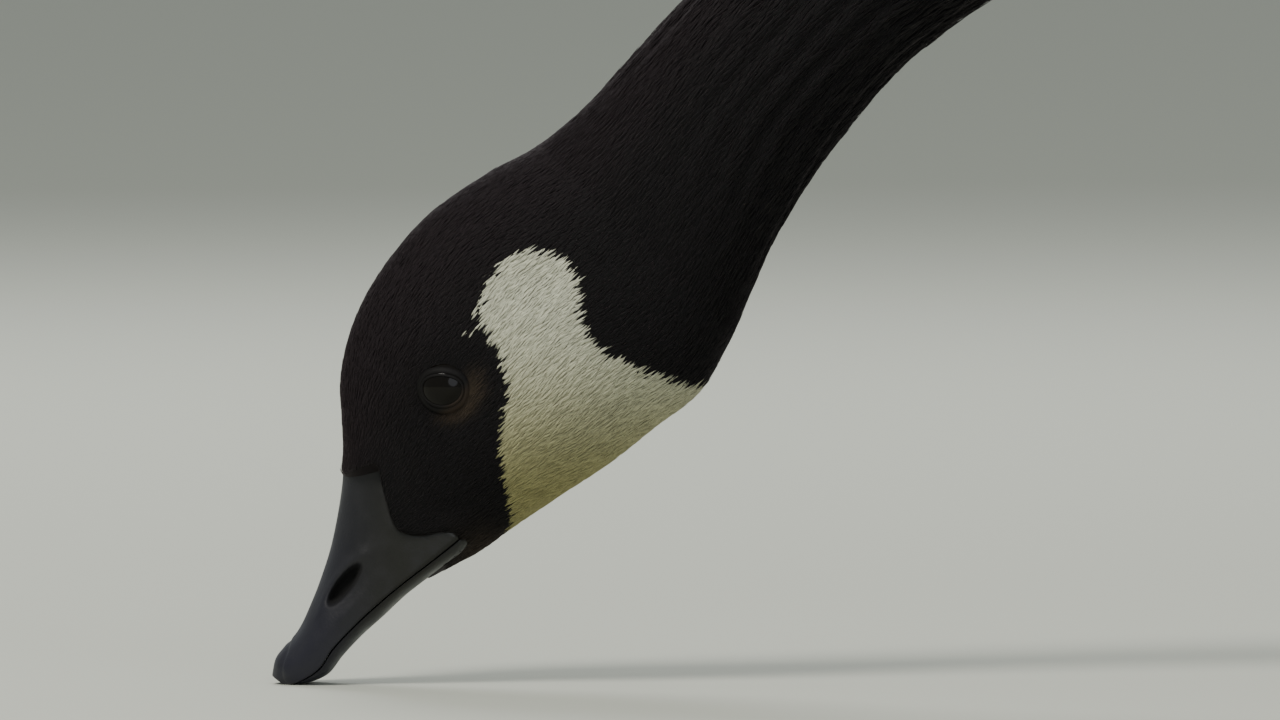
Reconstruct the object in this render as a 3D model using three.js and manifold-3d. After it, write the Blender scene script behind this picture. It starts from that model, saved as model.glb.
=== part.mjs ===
// A life-size Canada goose, grazing: both feet flat on the ground, the neck let down
// and the bill tip on the floor.
// Millimetres, +Z up. The bird faces -X and its right side is +Y.
// Every size below is measured from the bill tip, where x is 0, and the finished bird is shifted by TIP_X.
import * as THREE from "three";
import { mergeVertices } from "three/addons/utils/BufferGeometryUtils.js";
import Module from "manifold-3d";

const wasm = await Module();
wasm.setup();

const { abs, cos, exp, max, min, PI, sign, sin, sqrt } = Math;
const DEGREE = PI / 180;

// Driving dimensions
const TIP_X = -430; // bill tip to the middle of the bird's length
const GAP = 0.3; // clearance between touching pieces
const SKIN_GROW = 0.45; // how far a body form grows before it trims what lies on it

// Stations of the body form from the face to the tail root.
// Each gives the top of the outline [x, z], the bottom of the outline [x, z], the half width,
// and how far up from the bottom the section is widest.
const BODY = [
  [[15.5, 41.4], [28.8, 21.2], 12.4, 0.5], // ahead of the feather line
  [[15.7, 50], [36.5, 24.1], 13.6, 0.5],
  [[15.2, 59.9], [45.9, 28.4], 16.0, 0.48],
  [[14.9, 70], [55.8, 35.3], 18.8, 0.46],
  [[17.6, 81.5], [66.2, 42.3], 21.0, 0.45], // eye
  [[23.9, 93.6], [76.5, 49.1], 22.6, 0.45],
  [[34.2, 105.8], [86.2, 56.7], 23.4, 0.46],
  [[47, 115], [96.6, 65], 23.8, 0.47], // throat corner
  [[58.6, 121.6], [103.6, 76.3], 23.8, 0.48],
  [[69.8, 131], [108, 86], 23.6, 0.5],
  [[80.6, 142.7], [115, 101], 23.6, 0.5], // slimmest part of the neck
  [[94.5, 157.5], [127.4, 120.2], 24.2, 0.5],
  [[115, 177], [145.4, 140.4], 25.5, 0.5],
  [[143, 201], [172, 158.5], 28, 0.5],
  [[178, 224], [206, 172.5], 32, 0.5],
  [[221, 247], [247, 182], 40, 0.5],
  [[268, 268], [286, 175], 54, 0.5], // neck root
  [[322, 291], [330, 153], 74, 0.5],
  [[385, 311], [388, 136], 90, 0.51],
  [[450, 324], [450, 130], 97, 0.52],
  [[515, 330], [515, 131], 98, 0.52], // deepest part of the belly
  [[580, 328], [580, 139], 92, 0.52],
  [[640, 319], [642, 156], 79, 0.52],
  [[695, 304], [702, 183], 62, 0.52],
  [[738, 287], [755, 212], 45, 0.5],
  [[773, 280], [794, 244], 31, 0.5],
  [[790, 275], [817, 261], 19, 0.5],
];
const HEAD_END = 7.6;
const NECK_SPLIT = 12;
const NECK_END = 16.3;
const RUMP_START = 22.4;

// Relief of the face: a swelling or hollow at [x, z], its radius and its height.
const FACE_RELIEF = [
  [34, 75, 8, 0.9], // brow
  [27, 56, 9, -1.1], // hollow between eye and bill
  [38.5, 66.5, 7, -0.7], // eye socket
  [59, 60, 19, 1.5], // cheek
  [65, 86, 14, 0.9], // ear coverts
];

// Eye
const EYE_AT = [38.5, 67.2];
const EYE_RADIUS = 7;
const EYE_PROUD = 1.8; // how far the cornea stands out of the skin
const LID_RADIUS = 5.8;
const LID_THICK = 1.0;
const LID_PROUD = 0.2;

// Stations of the closed bill from its hidden root to its tip:
// culmen [x, z], mouth line [x, z], keel of the lower bill [x, z], half width.
const BILL = [
  [[16.4, 56], [45.5, 36], [50, 32.5], 13.4],
  [[15.7, 44.3], [37.8, 29.7], [40.7, 27.7], 12.9],
  [[13.6, 32.4], [28.8, 22.7], [31.3, 21], 12.0],
  [[11.2, 24.4], [22.5, 17.3], [25.2, 15.4], 11.2],
  [[8.9, 18.4], [17.6, 12.6], [20.2, 10.9], 10.6],
  [[6.2, 12.6], [13.5, 8.1], [16, 6.4], 10.0],
  [[3.1, 8.6], [10.4, 3.6], [12.6, 2.2], 9.2],
  [[0.9, 5.6], [5.6, 0.6], [7.6, -0.4], 7.2],
  [[0.1, 1.8], [2.4, -1], [4.2, -1.8], 4.0],
];
const BILL_SHRINK = 0.988; // draws the bill's own edge in from the feather line to leave the gap
const LOWER_BILL_INSET = 0.9; // how much narrower than the upper bill
const NOSTRIL = { at: [16.4, 22.7], aside: 9.6, length: 11, width: 3.2, depth: 5, pitch: 52 };
const NAIL = { at: [2.2, 3.4], along: 6.2, across: 5.2, pitch: 55 };

// Side outline of the feather line that parts the bill from the face, from forehead to chin.
const FEATHER_LINE = [
  [-20, 47.6], [16.2, 47.4], [20, 49.2], [23.9, 50.6], [24.4, 47.2], [25.2, 43.8], [26.2, 40.6],
  [27.2, 37.4],
  [28, 35.6], [31, 34.3], [34, 34], [37.8, 35], [41.2, 34.6], [42.6, 32.4], [41.4, 29.8], [38.6, 27.2],
  [35.6, 24.2], [33.6, 20], [33, -12], [-20, -12],
];

// Stations of the shell that the folded wings lie on, from the shoulder to the wing tips.
const MANTLE = [
  [[335, 297], [343, 160], 75, 0.5],
  [[385, 316], [388, 138], 93.5, 0.51],
  [[450, 329], [450, 131], 101, 0.52],
  [[515, 335], [515, 131], 102.5, 0.52],
  [[580, 334], [580, 139], 97.5, 0.52],
  [[640, 327], [640, 158], 86, 0.52],
  [[700, 313], [700, 188], 70, 0.52],
  [[760, 300], [760, 240], 50, 0.5],
  [[815, 291], [817, 268], 32, 0.5],
  [[850, 287], [853, 275], 20, 0.5],
];
const WING_ARM = { from: 0.45, to: 5.25, top: [15, 9], bottom: [106, 98], thick: 9 };
const WING_HAND = { from: 5.3, to: 6.9, top: [32, 30], bottom: [93, 78], thick: 5 };

// Tiers of wing feathers, innermost tier last. Places are mantle stations and degrees down from the spine.
// rise is how far a feather stands off the shell, step how much lower each next feather of the tier lies,
// Per part of the wing, TILT is how far a feather's lower edge stands above its upper one,
// and LIFT the share of its length where it rises off the shell.
const WING_TIERS = {
  arm: [
    { count: 7, root: [3.5, 3.5], tip: [6.6, 5.5], rootAt: [14, 100], tipAt: [12, 95],
      half: 13, rise: 2.4, step: 0 },
    { count: 7, root: [2.2, 2.4], tip: [4.3, 4.0], rootAt: [18, 102], tipAt: [16, 102],
      half: 13, rise: 3.9, step: 0 },
    { count: 6, root: [1.2, 1.3], tip: [3.0, 2.8], rootAt: [21, 97], tipAt: [19, 100],
      half: 14, rise: 5.3, step: 0 },
    { count: 4, root: [1.7, 1.0], tip: [4.9, 2.4], rootAt: [16, 40], tipAt: [9, 41],
      half: 13.5, rise: 6.6, step: 0 },
  ],
  hand: [
    { count: 6, root: [5.5, 5.6], tip: [7.4, 8.9], rootAt: [38, 80], tipAt: [36, 46],
      half: 11, rise: 5, step: 0.95 },
  ],
};
const TILT = { arm: 0.55, hand: 0 };
const LIFT = { arm: [0, 0.3], hand: [0.3, 0.7] };
const VANE_THICK = 0.6;
const VANE_ALONG = [0, 0.4, 0.84, 1]; // rows of a vane, as shares of its length
const ROOT_SUNK = 2.2; // how far a wing feather's root lies under the shell
const PAD_CELLS = 6; // rows and columns of a wing pad
const PAD_EDGE = 3.5; // how far the rim of a wing pad falls in under the shell
const VANE_WIDTH = [0.5, 0.95, 0.9, 0.34]; // half width at each row, as a share of the widest

// Tail
const TAIL = {
  feathers: 12,
  root: [742, 280],
  droop: 3, // degrees below level
  length: [118, 104], // from the root of the middle and of the outermost feather
  spread: 13, // degrees that the outermost feather turns out
  rootHalf: 20, // half width of the row of quills
  pad: [26, 26, 9], // half sizes of the flesh that holds the quills
  half: 10.5, // half width of a vane
  camber: 0.8, // how far the edges of the outermost vane bend down
  step: 0.95, // how far each feather lies below its inner neighbour
  coverts: { count: 7, back: 12, length: [76, 60], half: 10, rise: 4.4 },
};

// Legs. The left foot is ahead of the right, as in a slow step.
const LEG = {
  left: { foot: [478, -44], hock: [513, -47, 96], thigh: [497, -55, 190] },
  right: { foot: [508, 44], hock: [543, 47, 96], thigh: [522, 55, 190] },
};
const SHANK_WIDTHS = [4.7, 4.3, 3.7, 3.9, 5.2, 6.4, 6.6]; // half sizes from the ankle to the hock
const SHANK_DEPTHS = [5.4, 5.0, 4.5, 4.8, 6.6, 8.0, 7.6];
const THIGH_WIDTHS = [6.6, 7.6, 12, 20, 27, 27]; // half sizes from the hock up into the body
const THIGH_DEPTHS = [7.6, 9, 15, 27, 38, 38];
const FEATHER_EDGE = 6; // height above the hock where the thigh's feathers begin
const ANKLE_Z = 15; // top of the foot, where the shank meets it
const TOES = [
  { name: "inner", turn: 27, length: 58, radius: 3.6 },
  { name: "middle", turn: -2, length: 74, radius: 4.0 },
  { name: "outer", turn: -29, length: 71, radius: 3.7 },
];
const TOE_HEIGHT = 3.1;
const TOE_SHARES = [-0.05, 0.33, 0.62, 0.68, 0.94, 1]; // places along a toe
const TOE_GIRTHS = [1.25, 1.08, 0.85, 0.97, 0.8, 0.6]; // and its girth there, as shares of its radius
const KNUCKLE = [8.5, 6.8, 8.2];
const HIND_TOE = { turn: 160, length: 15, radius: 2.6, height: 11, fall: 5 };
const WEB = { thick: 1.2, floor: 0.9, reach: 0.9, scoop: 0.8 };
const CLAW_GAP = 0.45;
const CLAW_LENGTH = 8.5;
const HIND_CLAW_LENGTH = 6;

// Materials
const finish = (color, roughness, metalness = 0) =>
  new THREE.MeshStandardMaterial({ color, roughness, metalness });
const BLACK_PLUMAGE = finish(0x171517, 0.85);
const BROWN_PLUMAGE = finish(0x7d6d5c, 0.9);
const WHITE_PLUMAGE = finish(0xe2dfd2, 0.9);
const WING_PLUMAGE = finish(0x5d5044, 0.85);
const FLIGHT_FEATHER = finish(0x2b2622, 0.7);
const BILL_HORN = finish(0x1d1d22, 0.45);
const EYE_GLOSS = finish(0x1c120b, 0.08);
const LEG_SKIN = finish(0x1b1a1c, 0.6);
const CLAW_HORN = finish(0x141315, 0.5);

// Numbers
const mix = (a, b, t) => a + (b - a) * t;
const clamp = (v, low, high) => min(high, max(low, v));
const ease = (a, b, v) => {
  const t = clamp((v - a) / (b - a), 0, 1);
  return t * t * (3 - 2 * t);
};
const steps = (from, to, count) => Array.from({ length: count + 1 }, (_, i) => mix(from, to, i / count));

// Smooth value at station number u through a row of equally spaced values.
function through(row, u) {
  const last = row.length - 1;
  const i = clamp(Math.floor(u), 0, last - 1);
  const t = u - i;
  const [a, b, c, d] = [row[max(i - 1, 0)], row[i], row[i + 1], row[min(i + 2, last)]];
  return b + 0.5 * t * (c - a + t * (2 * a - 5 * b + 4 * c - d + t * (3 * (b - c) + d - a)));
}

// Solids

// A closed solid of manifold-3d from any closed geometry, with its faces turned outwards.
function solid(geometry) {
  const bare = new THREE.BufferGeometry();
  bare.setAttribute("position", geometry.getAttribute("position"));
  bare.setIndex(geometry.index);
  const merged = mergeVertices(bare, 1e-4);
  const vertProperties = merged.getAttribute("position").array;
  const triVerts = new Uint32Array(merged.index.array);
  const made = new wasm.Manifold(new wasm.Mesh({ numProp: 3, vertProperties, triVerts }));
  return made.volume() < 0 ? solid(flipped(merged)) : made;
}

function flipped(geometry) {
  const turned = geometry.clone();
  const index = turned.index.array;
  for (let i = 0; i < index.length; i += 3) [index[i + 1], index[i + 2]] = [index[i + 2], index[i + 1]];
  return turned;
}

function geometryOf(points, faces) {
  const geometry = new THREE.BufferGeometry();
  const numbers = points.flatMap((p) => p.toArray());
  geometry.setAttribute("position", new THREE.Float32BufferAttribute(numbers, 3));
  geometry.setIndex(faces);
  return geometry;
}

// The solid inside a row of rings, each with the same number of points, with both ends closed.
function loft(rings) {
  const sides = rings[0].length;
  const points = rings.flat();
  const faces = [];
  for (let r = 0; r + 1 < rings.length; r++)
    for (let s = 0; s < sides; s++) {
      const [a, b] = [r * sides + s, r * sides + ((s + 1) % sides)];
      faces.push(a, b, b + sides, a, b + sides, a + sides);
    }
  for (const [ring, first, turn] of [[rings[0], 0, true], [rings.at(-1), points.length - sides, false]]) {
    const middle = ring.reduce((sum, p) => sum.add(p), new THREE.Vector3()).divideScalar(sides);
    points.push(middle);
    for (let s = 0; s < sides; s++) {
      const [a, b] = [first + s, first + ((s + 1) % sides)];
      faces.push(points.length - 1, ...(turn ? [b, a] : [a, b]));
    }
  }
  return solid(geometryOf(points, faces));
}

// The solid between two grids of points, split into triangles alike on both faces.
function plate(top, bottom) {
  const [rows, columns] = [top.length, top[0].length];
  const points = [...top.flat(), ...bottom.flat()];
  const faces = [];
  const under = rows * columns;
  const at = (i, j) => i * columns + j;
  for (let i = 0; i + 1 < rows; i++)
    for (let j = 0; j + 1 < columns; j++) {
      const [a, b, c, d] = [at(i, j), at(i, j + 1), at(i + 1, j + 1), at(i + 1, j)];
      faces.push(a, b, c, a, c, d);
      faces.push(a + under, c + under, b + under, a + under, d + under, c + under);
    }
  const rim = [];
  for (let j = 0; j + 1 < columns; j++) rim.push(at(0, j));
  for (let i = 0; i + 1 < rows; i++) rim.push(at(i, columns - 1));
  for (let j = columns - 1; j > 0; j--) rim.push(at(rows - 1, j));
  for (let i = rows - 1; i > 0; i--) rim.push(at(i, 0));
  rim.forEach((a, k) => {
    const b = rim[(k + 1) % rim.length];
    faces.push(a, a + under, b + under, a, b + under, b);
  });
  return solid(geometryOf(points, faces));
}

// A tapered tube along points, with the given half width and half height at each.
function tube(points, widths, heights, sides = 10) {
  const spine = points.map((p) => new THREE.Vector3(...p));
  const rings = spine.map((p, i) => {
    const along = spine[min(i + 1, spine.length - 1)].clone().sub(spine[max(i - 1, 0)]).normalize();
    const steep = abs(along.z) > 0.85;
    const level = steep ? new THREE.Vector3(0, 1, 0) : new THREE.Vector3(0, 0, 1).cross(along);
    const across = level.addScaledVector(along, -level.dot(along)).normalize();
    const over = along.clone().cross(across);
    return steps(0, 2 * PI, sides).slice(0, sides).map((a) =>
      p.clone().addScaledVector(across, widths[i] * cos(a)).addScaledVector(over, heights[i] * sin(a)));
  });
  return loft(rings);
}

// An ellipsoid of the given half sizes, turned about Y and moved to its place.
function ellipsoid(halfSizes, pitch, place, across = 12, down = 8) {
  const ball = new THREE.SphereGeometry(1, across, down);
  ball.scale(...halfSizes);
  ball.rotateY(-pitch * DEGREE);
  ball.translate(...place);
  return solid(ball);
}

const union = (solids) => wasm.Manifold.union(solids);
const largest = (made) =>
  made.decompose().reduce((best, piece) => (piece.volume() > best.volume() ? piece : best));

// A prism of a side outline of [x, z] points, wide enough to cut the whole bird.
function sidePrism(outline, reach = 60) {
  const shape = new THREE.Shape(outline.map(([x, z]) => new THREE.Vector2(x, z)));
  const prism = new THREE.ExtrudeGeometry(shape, { depth: 2 * reach, bevelEnabled: false });
  prism.rotateX(PI / 2);
  prism.translate(0, reach, 0);
  return solid(prism);
}

const group = new THREE.Group();
group.position.x = TIP_X;

function addNode(name, made, material) {
  const whole = largest(made);
  const mesh = whole.getMesh();
  const geometry = new THREE.BufferGeometry();
  geometry.setAttribute("position", new THREE.BufferAttribute(mesh.vertProperties, 3));
  geometry.setIndex(new THREE.BufferAttribute(mesh.triVerts, 1));
  const node = new THREE.Mesh(geometry, material);
  node.name = name;
  group.add(node);
}

// Body form

const FULLNESS = 2.12; // above 2, a section is fuller than an ellipse

// Point of a station form at station u and angle a, which is 0 on the spine and grows to the right.
function formPoint(stations, u, a, grow = 0) {
  const [top, bottom] = [0, 1].map((k) =>
    [0, 1].map((axis) => through(stations.map((s) => s[k][axis]), u)));
  const half = through(stations.map((s) => s[2]), u) + grow;
  const widest = through(stations.map((s) => s[3]), u);
  const [dx, dz] = [top[0] - bottom[0], top[1] - bottom[1]];
  const depth = sqrt(dx * dx + dz * dz);
  const reach = (cos(a) >= 0 ? 1 - widest : widest) * depth + grow;
  const round = (v) => sign(v) * abs(v) ** (2 / FULLNESS);
  const up = (widest * depth + round(cos(a)) * reach) / depth;
  return new THREE.Vector3(bottom[0] + dx * up, half * round(sin(a)), bottom[1] + dz * up);
}

function relief(point) {
  const swell = FACE_RELIEF.reduce((sum, [x, z, radius, height]) => {
    const far = ((point.x - x) ** 2 + (point.z - z) ** 2) / (radius * radius);
    return sum + height * exp(-far);
  }, 0);
  point.y += swell * clamp(point.y / 10, -1, 1);
  return point;
}

const bodyPoint = (u, a, grow) => relief(formPoint(BODY, u, a, grow));

function bodyForm(from, to, rings, sides, grow = 0) {
  return loft(steps(from, to, rings).map((u) =>
    steps(0, 2 * PI, sides).slice(0, sides).map((a) => bodyPoint(u, a, grow))));
}

// Length of one station step at u, to turn a gap into a step.
const stationLength = (u) => bodyPoint(u + 0.05, PI / 2).distanceTo(bodyPoint(u - 0.05, PI / 2)) * 10;
const past = (u) => u + (1.3 * GAP) / stationLength(u);

// The place on the right side of the body form whose side view is [x, z]: its point and outward direction.
function onBodySide([x, z]) {
  const miss = (u, a) => {
    const p = bodyPoint(u, a);
    return (p.x - x) ** 2 + (p.z - z) ** 2;
  };
  let best = [4, PI / 2];
  for (let size = 2; size > 0.0005; size /= 2)
    for (const du of [-size, 0, size])
      for (const da of [-size, 0, size]) {
        const next = [clamp(best[0] + du * 0.5, 0.5, 20), clamp(best[1] + da * 0.3, 0.1, PI - 0.1)];
        if (miss(...next) < miss(...best)) best = next;
      }
  const [u, a] = best;
  const along = bodyPoint(u + 0.05, a).sub(bodyPoint(u - 0.05, a));
  const around = bodyPoint(u, a + 0.02).sub(bodyPoint(u, a - 0.02));
  return { point: bodyPoint(u, a), out: along.cross(around).normalize() };
}

const mirrored = (v) => new THREE.Vector3(v.x, -v.y, v.z);
const SIDES = [["left", -1], ["right", 1]];

// Head, eyes and bill

const eyeSeat = onBodySide(EYE_AT);
const eyeCentre = eyeSeat.point.clone().addScaledVector(eyeSeat.out, EYE_PROUD - EYE_RADIUS);

function lidRing(side) {
  const ring = new THREE.TorusGeometry(LID_RADIUS, LID_THICK, 6, 18);
  const out = side > 0 ? eyeSeat.out : mirrored(eyeSeat.out);
  const seat = side > 0 ? eyeSeat.point : mirrored(eyeSeat.point);
  ring.applyQuaternion(new THREE.Quaternion().setFromUnitVectors(new THREE.Vector3(0, 0, 1), out));
  ring.translate(...seat.clone().addScaledVector(out, LID_PROUD).toArray());
  return solid(ring);
}

function eyeBall(side, radius) {
  const ball = new THREE.SphereGeometry(radius, 14, 10);
  ball.translate(eyeCentre.x, side * eyeCentre.y, eyeCentre.z);
  return solid(ball);
}

function billRing([culmen, mouth, keel, half], part) {
  const [from, to] = part === "upper" ? [mouth, culmen] : [mouth, keel];
  const gap = part === "upper" ? 0 : GAP;
  const [dx, dz] = [to[0] - from[0], to[1] - from[1]];
  const depth = sqrt(dx * dx + dz * dz);
  const width = part === "upper" ? half : half - LOWER_BILL_INSET;
  const arc = steps(0, PI, 10).map((a) => [width * cos(a) * (1 + 0.05 * sin(2 * a) ** 2), sin(a)]);
  const floor = steps(-1, 1, 4).slice(1, 4).map((s) => [s * width, 0]);
  return [...arc, ...floor].map(([y, rise]) => {
    const up = (gap + rise * (depth - gap)) / depth;
    return new THREE.Vector3(from[0] + dx * up, y, from[1] + dz * up);
  });
}

function billForm(part, stations) {
  const [first, last] = [0, stations.length - 1];
  const values = (pick) => (u) => through(stations.map(pick), u);
  const smooth = steps(first, last, 12).map((u) => [
    [values((s) => s[0][0])(u), values((s) => s[0][1])(u)],
    [values((s) => s[1][0])(u), values((s) => s[1][1])(u)],
    [values((s) => s[2][0])(u), values((s) => s[2][1])(u)],
    values((s) => s[3])(u),
  ]);
  return loft(smooth.map((station) => billRing(station, part)));
}

// Level cuts. Whatever would reach below the floor is planed off flat.
const above = (made, z) => made.trimByPlane([0, 0, 1], z);
const below = (made, z) => made.trimByPlane([0, 0, -1], -z);
const aboveFloor = (made) => above(made, 0);

const billFace = sidePrism(FEATHER_LINE);
const billBack = sidePrism(FEATHER_LINE.map(([x, z]) => [x * BILL_SHRINK, z * BILL_SHRINK]));

function nailPrism(grow) {
  const disc = new THREE.CylinderGeometry(1, 1, 30, 14);
  disc.scale(NAIL.along + grow, 1, NAIL.across + grow);
  disc.rotateX(PI / 2);
  disc.rotateY(-NAIL.pitch * DEGREE);
  disc.translate(NAIL.at[0], 0, NAIL.at[1]);
  return solid(disc);
}

const nostrils = SIDES.map(([, side]) => {
  const { at, aside, length, width, depth, pitch } = NOSTRIL;
  return ellipsoid([length / 2, depth / 2, width / 2], pitch, [at[0], side * aside, at[1]]);
});
const upperBill = billForm("upper", BILL).intersect(billBack).subtract(union(nostrils));
const lowerBill = billForm("lower", BILL.slice(0, 8)).intersect(billBack);

const lids = SIDES.map(([, side]) => lidRing(side));
const sockets = SIDES.map(([, side]) => eyeBall(side, EYE_RADIUS + GAP));
const face = union([bodyForm(0, HEAD_END, 15, 24), ...lids]);
addNode("head", face.subtract(billFace).subtract(union(sockets)), BLACK_PLUMAGE);
for (const [name, side] of SIDES) addNode(`eye_${name}`, eyeBall(side, EYE_RADIUS), EYE_GLOSS);
addNode("bill_upper", aboveFloor(upperBill.subtract(nailPrism(GAP))), BILL_HORN);
addNode("bill_nail", aboveFloor(upperBill.intersect(nailPrism(0))), BILL_HORN);
addNode("bill_lower", aboveFloor(lowerBill), BILL_HORN);

// Neck, torso and rump

const LENGTHS = [
  ["neck_upper", past(HEAD_END), NECK_SPLIT, 7, 24, BLACK_PLUMAGE],
  ["neck_lower", past(NECK_SPLIT), NECK_END, 7, 26, BLACK_PLUMAGE],
  ["torso", past(NECK_END), RUMP_START, 11, 28, BROWN_PLUMAGE],
  ["rump", past(RUMP_START), BODY.length - 1, 7, 26, WHITE_PLUMAGE],
];
for (const [name, from, to, rings, sides, plumage] of LENGTHS)
  addNode(name, bodyForm(from, to, rings, sides), plumage);

// The same lengths a little larger, to trim what lies on them.
const bodyGrown = union(LENGTHS.slice(1).map(([, from, to, rings, sides]) =>
  bodyForm(from - 0.02, to + 0.02, rings, sides, SKIN_GROW)));

// Wings

function mantlePoint(side, u, degrees, height) {
  const a = degrees * DEGREE;
  const point = formPoint(MANTLE, u, a);
  const along = formPoint(MANTLE, u + 0.05, a).sub(formPoint(MANTLE, u - 0.05, a));
  const around = formPoint(MANTLE, u, a + 0.02).sub(formPoint(MANTLE, u, a - 0.02));
  point.addScaledVector(along.cross(around).normalize(), height);
  point.y *= side;
  return point;
}

const mantleRadius = (u, degrees) =>
  formPoint(MANTLE, u, (degrees + 1) * DEGREE).distanceTo(formPoint(MANTLE, u, (degrees - 1) * DEGREE)) / 2;

function wingPad(side, { from, to, top, bottom, thick }) {
  const layer = (height) => steps(0, 1, PAD_CELLS).map((i) => steps(0, 1, PAD_CELLS).map((j) => {
    const edge = ease(0, 0.22, min(j, 1 - j)) * ease(0, 0.12, i);
    const degrees = mix(mix(top[0], top[1], i), mix(bottom[0], bottom[1], i), j);
    return mantlePoint(side, mix(from, to, i), degrees, height(edge));
  }));
  return plate(layer((edge) => -PAD_EDGE * (1 - edge)), layer(() => -thick));
}

// One vane of a tier. Its root is sunk into the pad and its tip lies free over the tier behind.
function wingVane(side, part, tier, index) {
  const share = index / (tier.count - 1);
  const root = [mix(...tier.root, share), mix(...tier.rootAt, share)];
  const tip = [mix(...tier.tip, share), mix(...tier.tipAt, share)];
  const rise = tier.rise - tier.step * index;
  const layer = (lift) => VANE_ALONG.map((t, row) => {
    const u = mix(root[0], tip[0], t);
    const degrees = mix(root[1], tip[1], t);
    const half = (tier.half * VANE_WIDTH[row]) / mantleRadius(u, degrees);
    const height = mix(-ROOT_SUNK, rise, ease(...LIFT[part], t)) + lift;
    return [-1, 0, 1].map((a) => mantlePoint(side, u, degrees + a * half, height + TILT[part] * a));
  });
  return plate(layer(VANE_THICK), layer(0));
}

function wingPart(side, part, pad) {
  const vanes = WING_TIERS[part].flatMap((tier) =>
    Array.from({ length: tier.count }, (_, index) => wingVane(side, part, tier, index)));
  return union([wingPad(side, pad), ...vanes]).subtract(bodyGrown);
}

for (const [name, side] of SIDES) {
  addNode(`wing_${name}_arm`, wingPart(side, "arm", WING_ARM), WING_PLUMAGE);
  addNode(`wing_${name}_hand`, wingPart(side, "hand", WING_HAND), FLIGHT_FEATHER);
}

// Tail

// One vane of the fan, at share 0 in the middle to 1 at the edge, with its root behind the fan's root.
function tailVane(side, share, length, half, level, back = 0) {
  const turn = side * share * TAIL.spread * DEGREE;
  const drop = TAIL.droop * DEGREE;
  const layer = (lift) => VANE_ALONG.map((t, row) => {
    const along = length * t - back;
    const across = side * share * TAIL.rootHalf + along * sin(turn);
    const height = level * ease(0, 0.3, t) + lift;
    return [-1, 0, 1].map((a) => new THREE.Vector3(
      TAIL.root[0] + along * cos(turn) * cos(drop),
      across + a * half * VANE_WIDTH[row],
      TAIL.root[1] - along * sin(drop) + height - TAIL.camber * share * abs(a),
    ));
  });
  return plate(layer(VANE_THICK), layer(0));
}

// The two middle feathers lie one over the other, and each further pair lies below the last.
function tailFeather(index) {
  const order = Math.floor(index / 2);
  const share = (order + 0.5) / (TAIL.feathers / 2);
  const level = 2 - TAIL.step * (order < 2 ? index : order + 2);
  return tailVane(index % 2 ? 1 : -1, share, mix(...TAIL.length, share * share), TAIL.half, level);
}

function tailCovert(index) {
  const { count, back, length, half, rise } = TAIL.coverts;
  const share = (2 * index) / (count - 1) - 1;
  const level = rise - TAIL.step * (index % 2);
  return tailVane(sign(share), abs(share), mix(...length, abs(share)), half, level, back);
}

const tailVanes = [
  ...Array.from({ length: TAIL.feathers }, (_, index) => tailFeather(index)),
  ...Array.from({ length: TAIL.coverts.count }, (_, index) => tailCovert(index)),
];
const tailRoot = ellipsoid(TAIL.pad, TAIL.droop, [TAIL.root[0] + 12, 0, TAIL.root[1] - 3]);
addNode("tail", union([tailRoot, ...tailVanes]).subtract(bodyGrown), FLIGHT_FEATHER);

// Legs and feet

function toeEnd(foot, side, turn, length, z = TOE_HEIGHT) {
  const a = turn * DEGREE;
  return [foot[0] - length * cos(a), foot[1] - side * length * sin(a), z];
}

function toe(foot, side, { turn, length, radius }) {
  const height = (s) => TOE_HEIGHT + (s < 0 ? 1.5 : 0);
  const points = TOE_SHARES.map((s) => toeEnd(foot, side, turn, length * s, height(s)));
  const girths = TOE_GIRTHS.map((g) => g * radius);
  return tube(points, girths, girths, 8);
}

function web(foot, side) {
  const [inner, middle, outer] = TOES.map(({ turn, length }) =>
    toeEnd(foot, side, turn, length * WEB.reach));
  const shape = new THREE.Shape().moveTo(foot[0] + 2, foot[1]);
  shape.lineTo(inner[0], inner[1]);
  for (const [a, b] of [[inner, middle], [middle, outer]]) {
    const bend = [(a[0] + b[0]) / 2, (a[1] + b[1]) / 2].map((v, i) => mix(foot[i], v, WEB.scoop));
    const curve = new THREE.QuadraticBezierCurve(
      new THREE.Vector2(a[0], a[1]), new THREE.Vector2(...bend), new THREE.Vector2(b[0], b[1]));
    curve.getPoints(6).slice(1).forEach((p) => shape.lineTo(p.x, p.y));
  }
  const skin = new THREE.ExtrudeGeometry(shape, { depth: WEB.thick, bevelEnabled: false });
  skin.translate(0, 0, WEB.floor);
  return solid(skin);
}

function claw(foot, side, turn, reach, length, radius, z) {
  const shares = [0, 0.35, 0.7, 1];
  const points = shares.map((s) => toeEnd(foot, side, turn, reach + length * s, z - 0.22 * z * s * s));
  const girths = [0.62, 0.52, 0.34, 0.1].map((g) => g * radius);
  return tube(points, girths, girths, 8);
}

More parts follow.
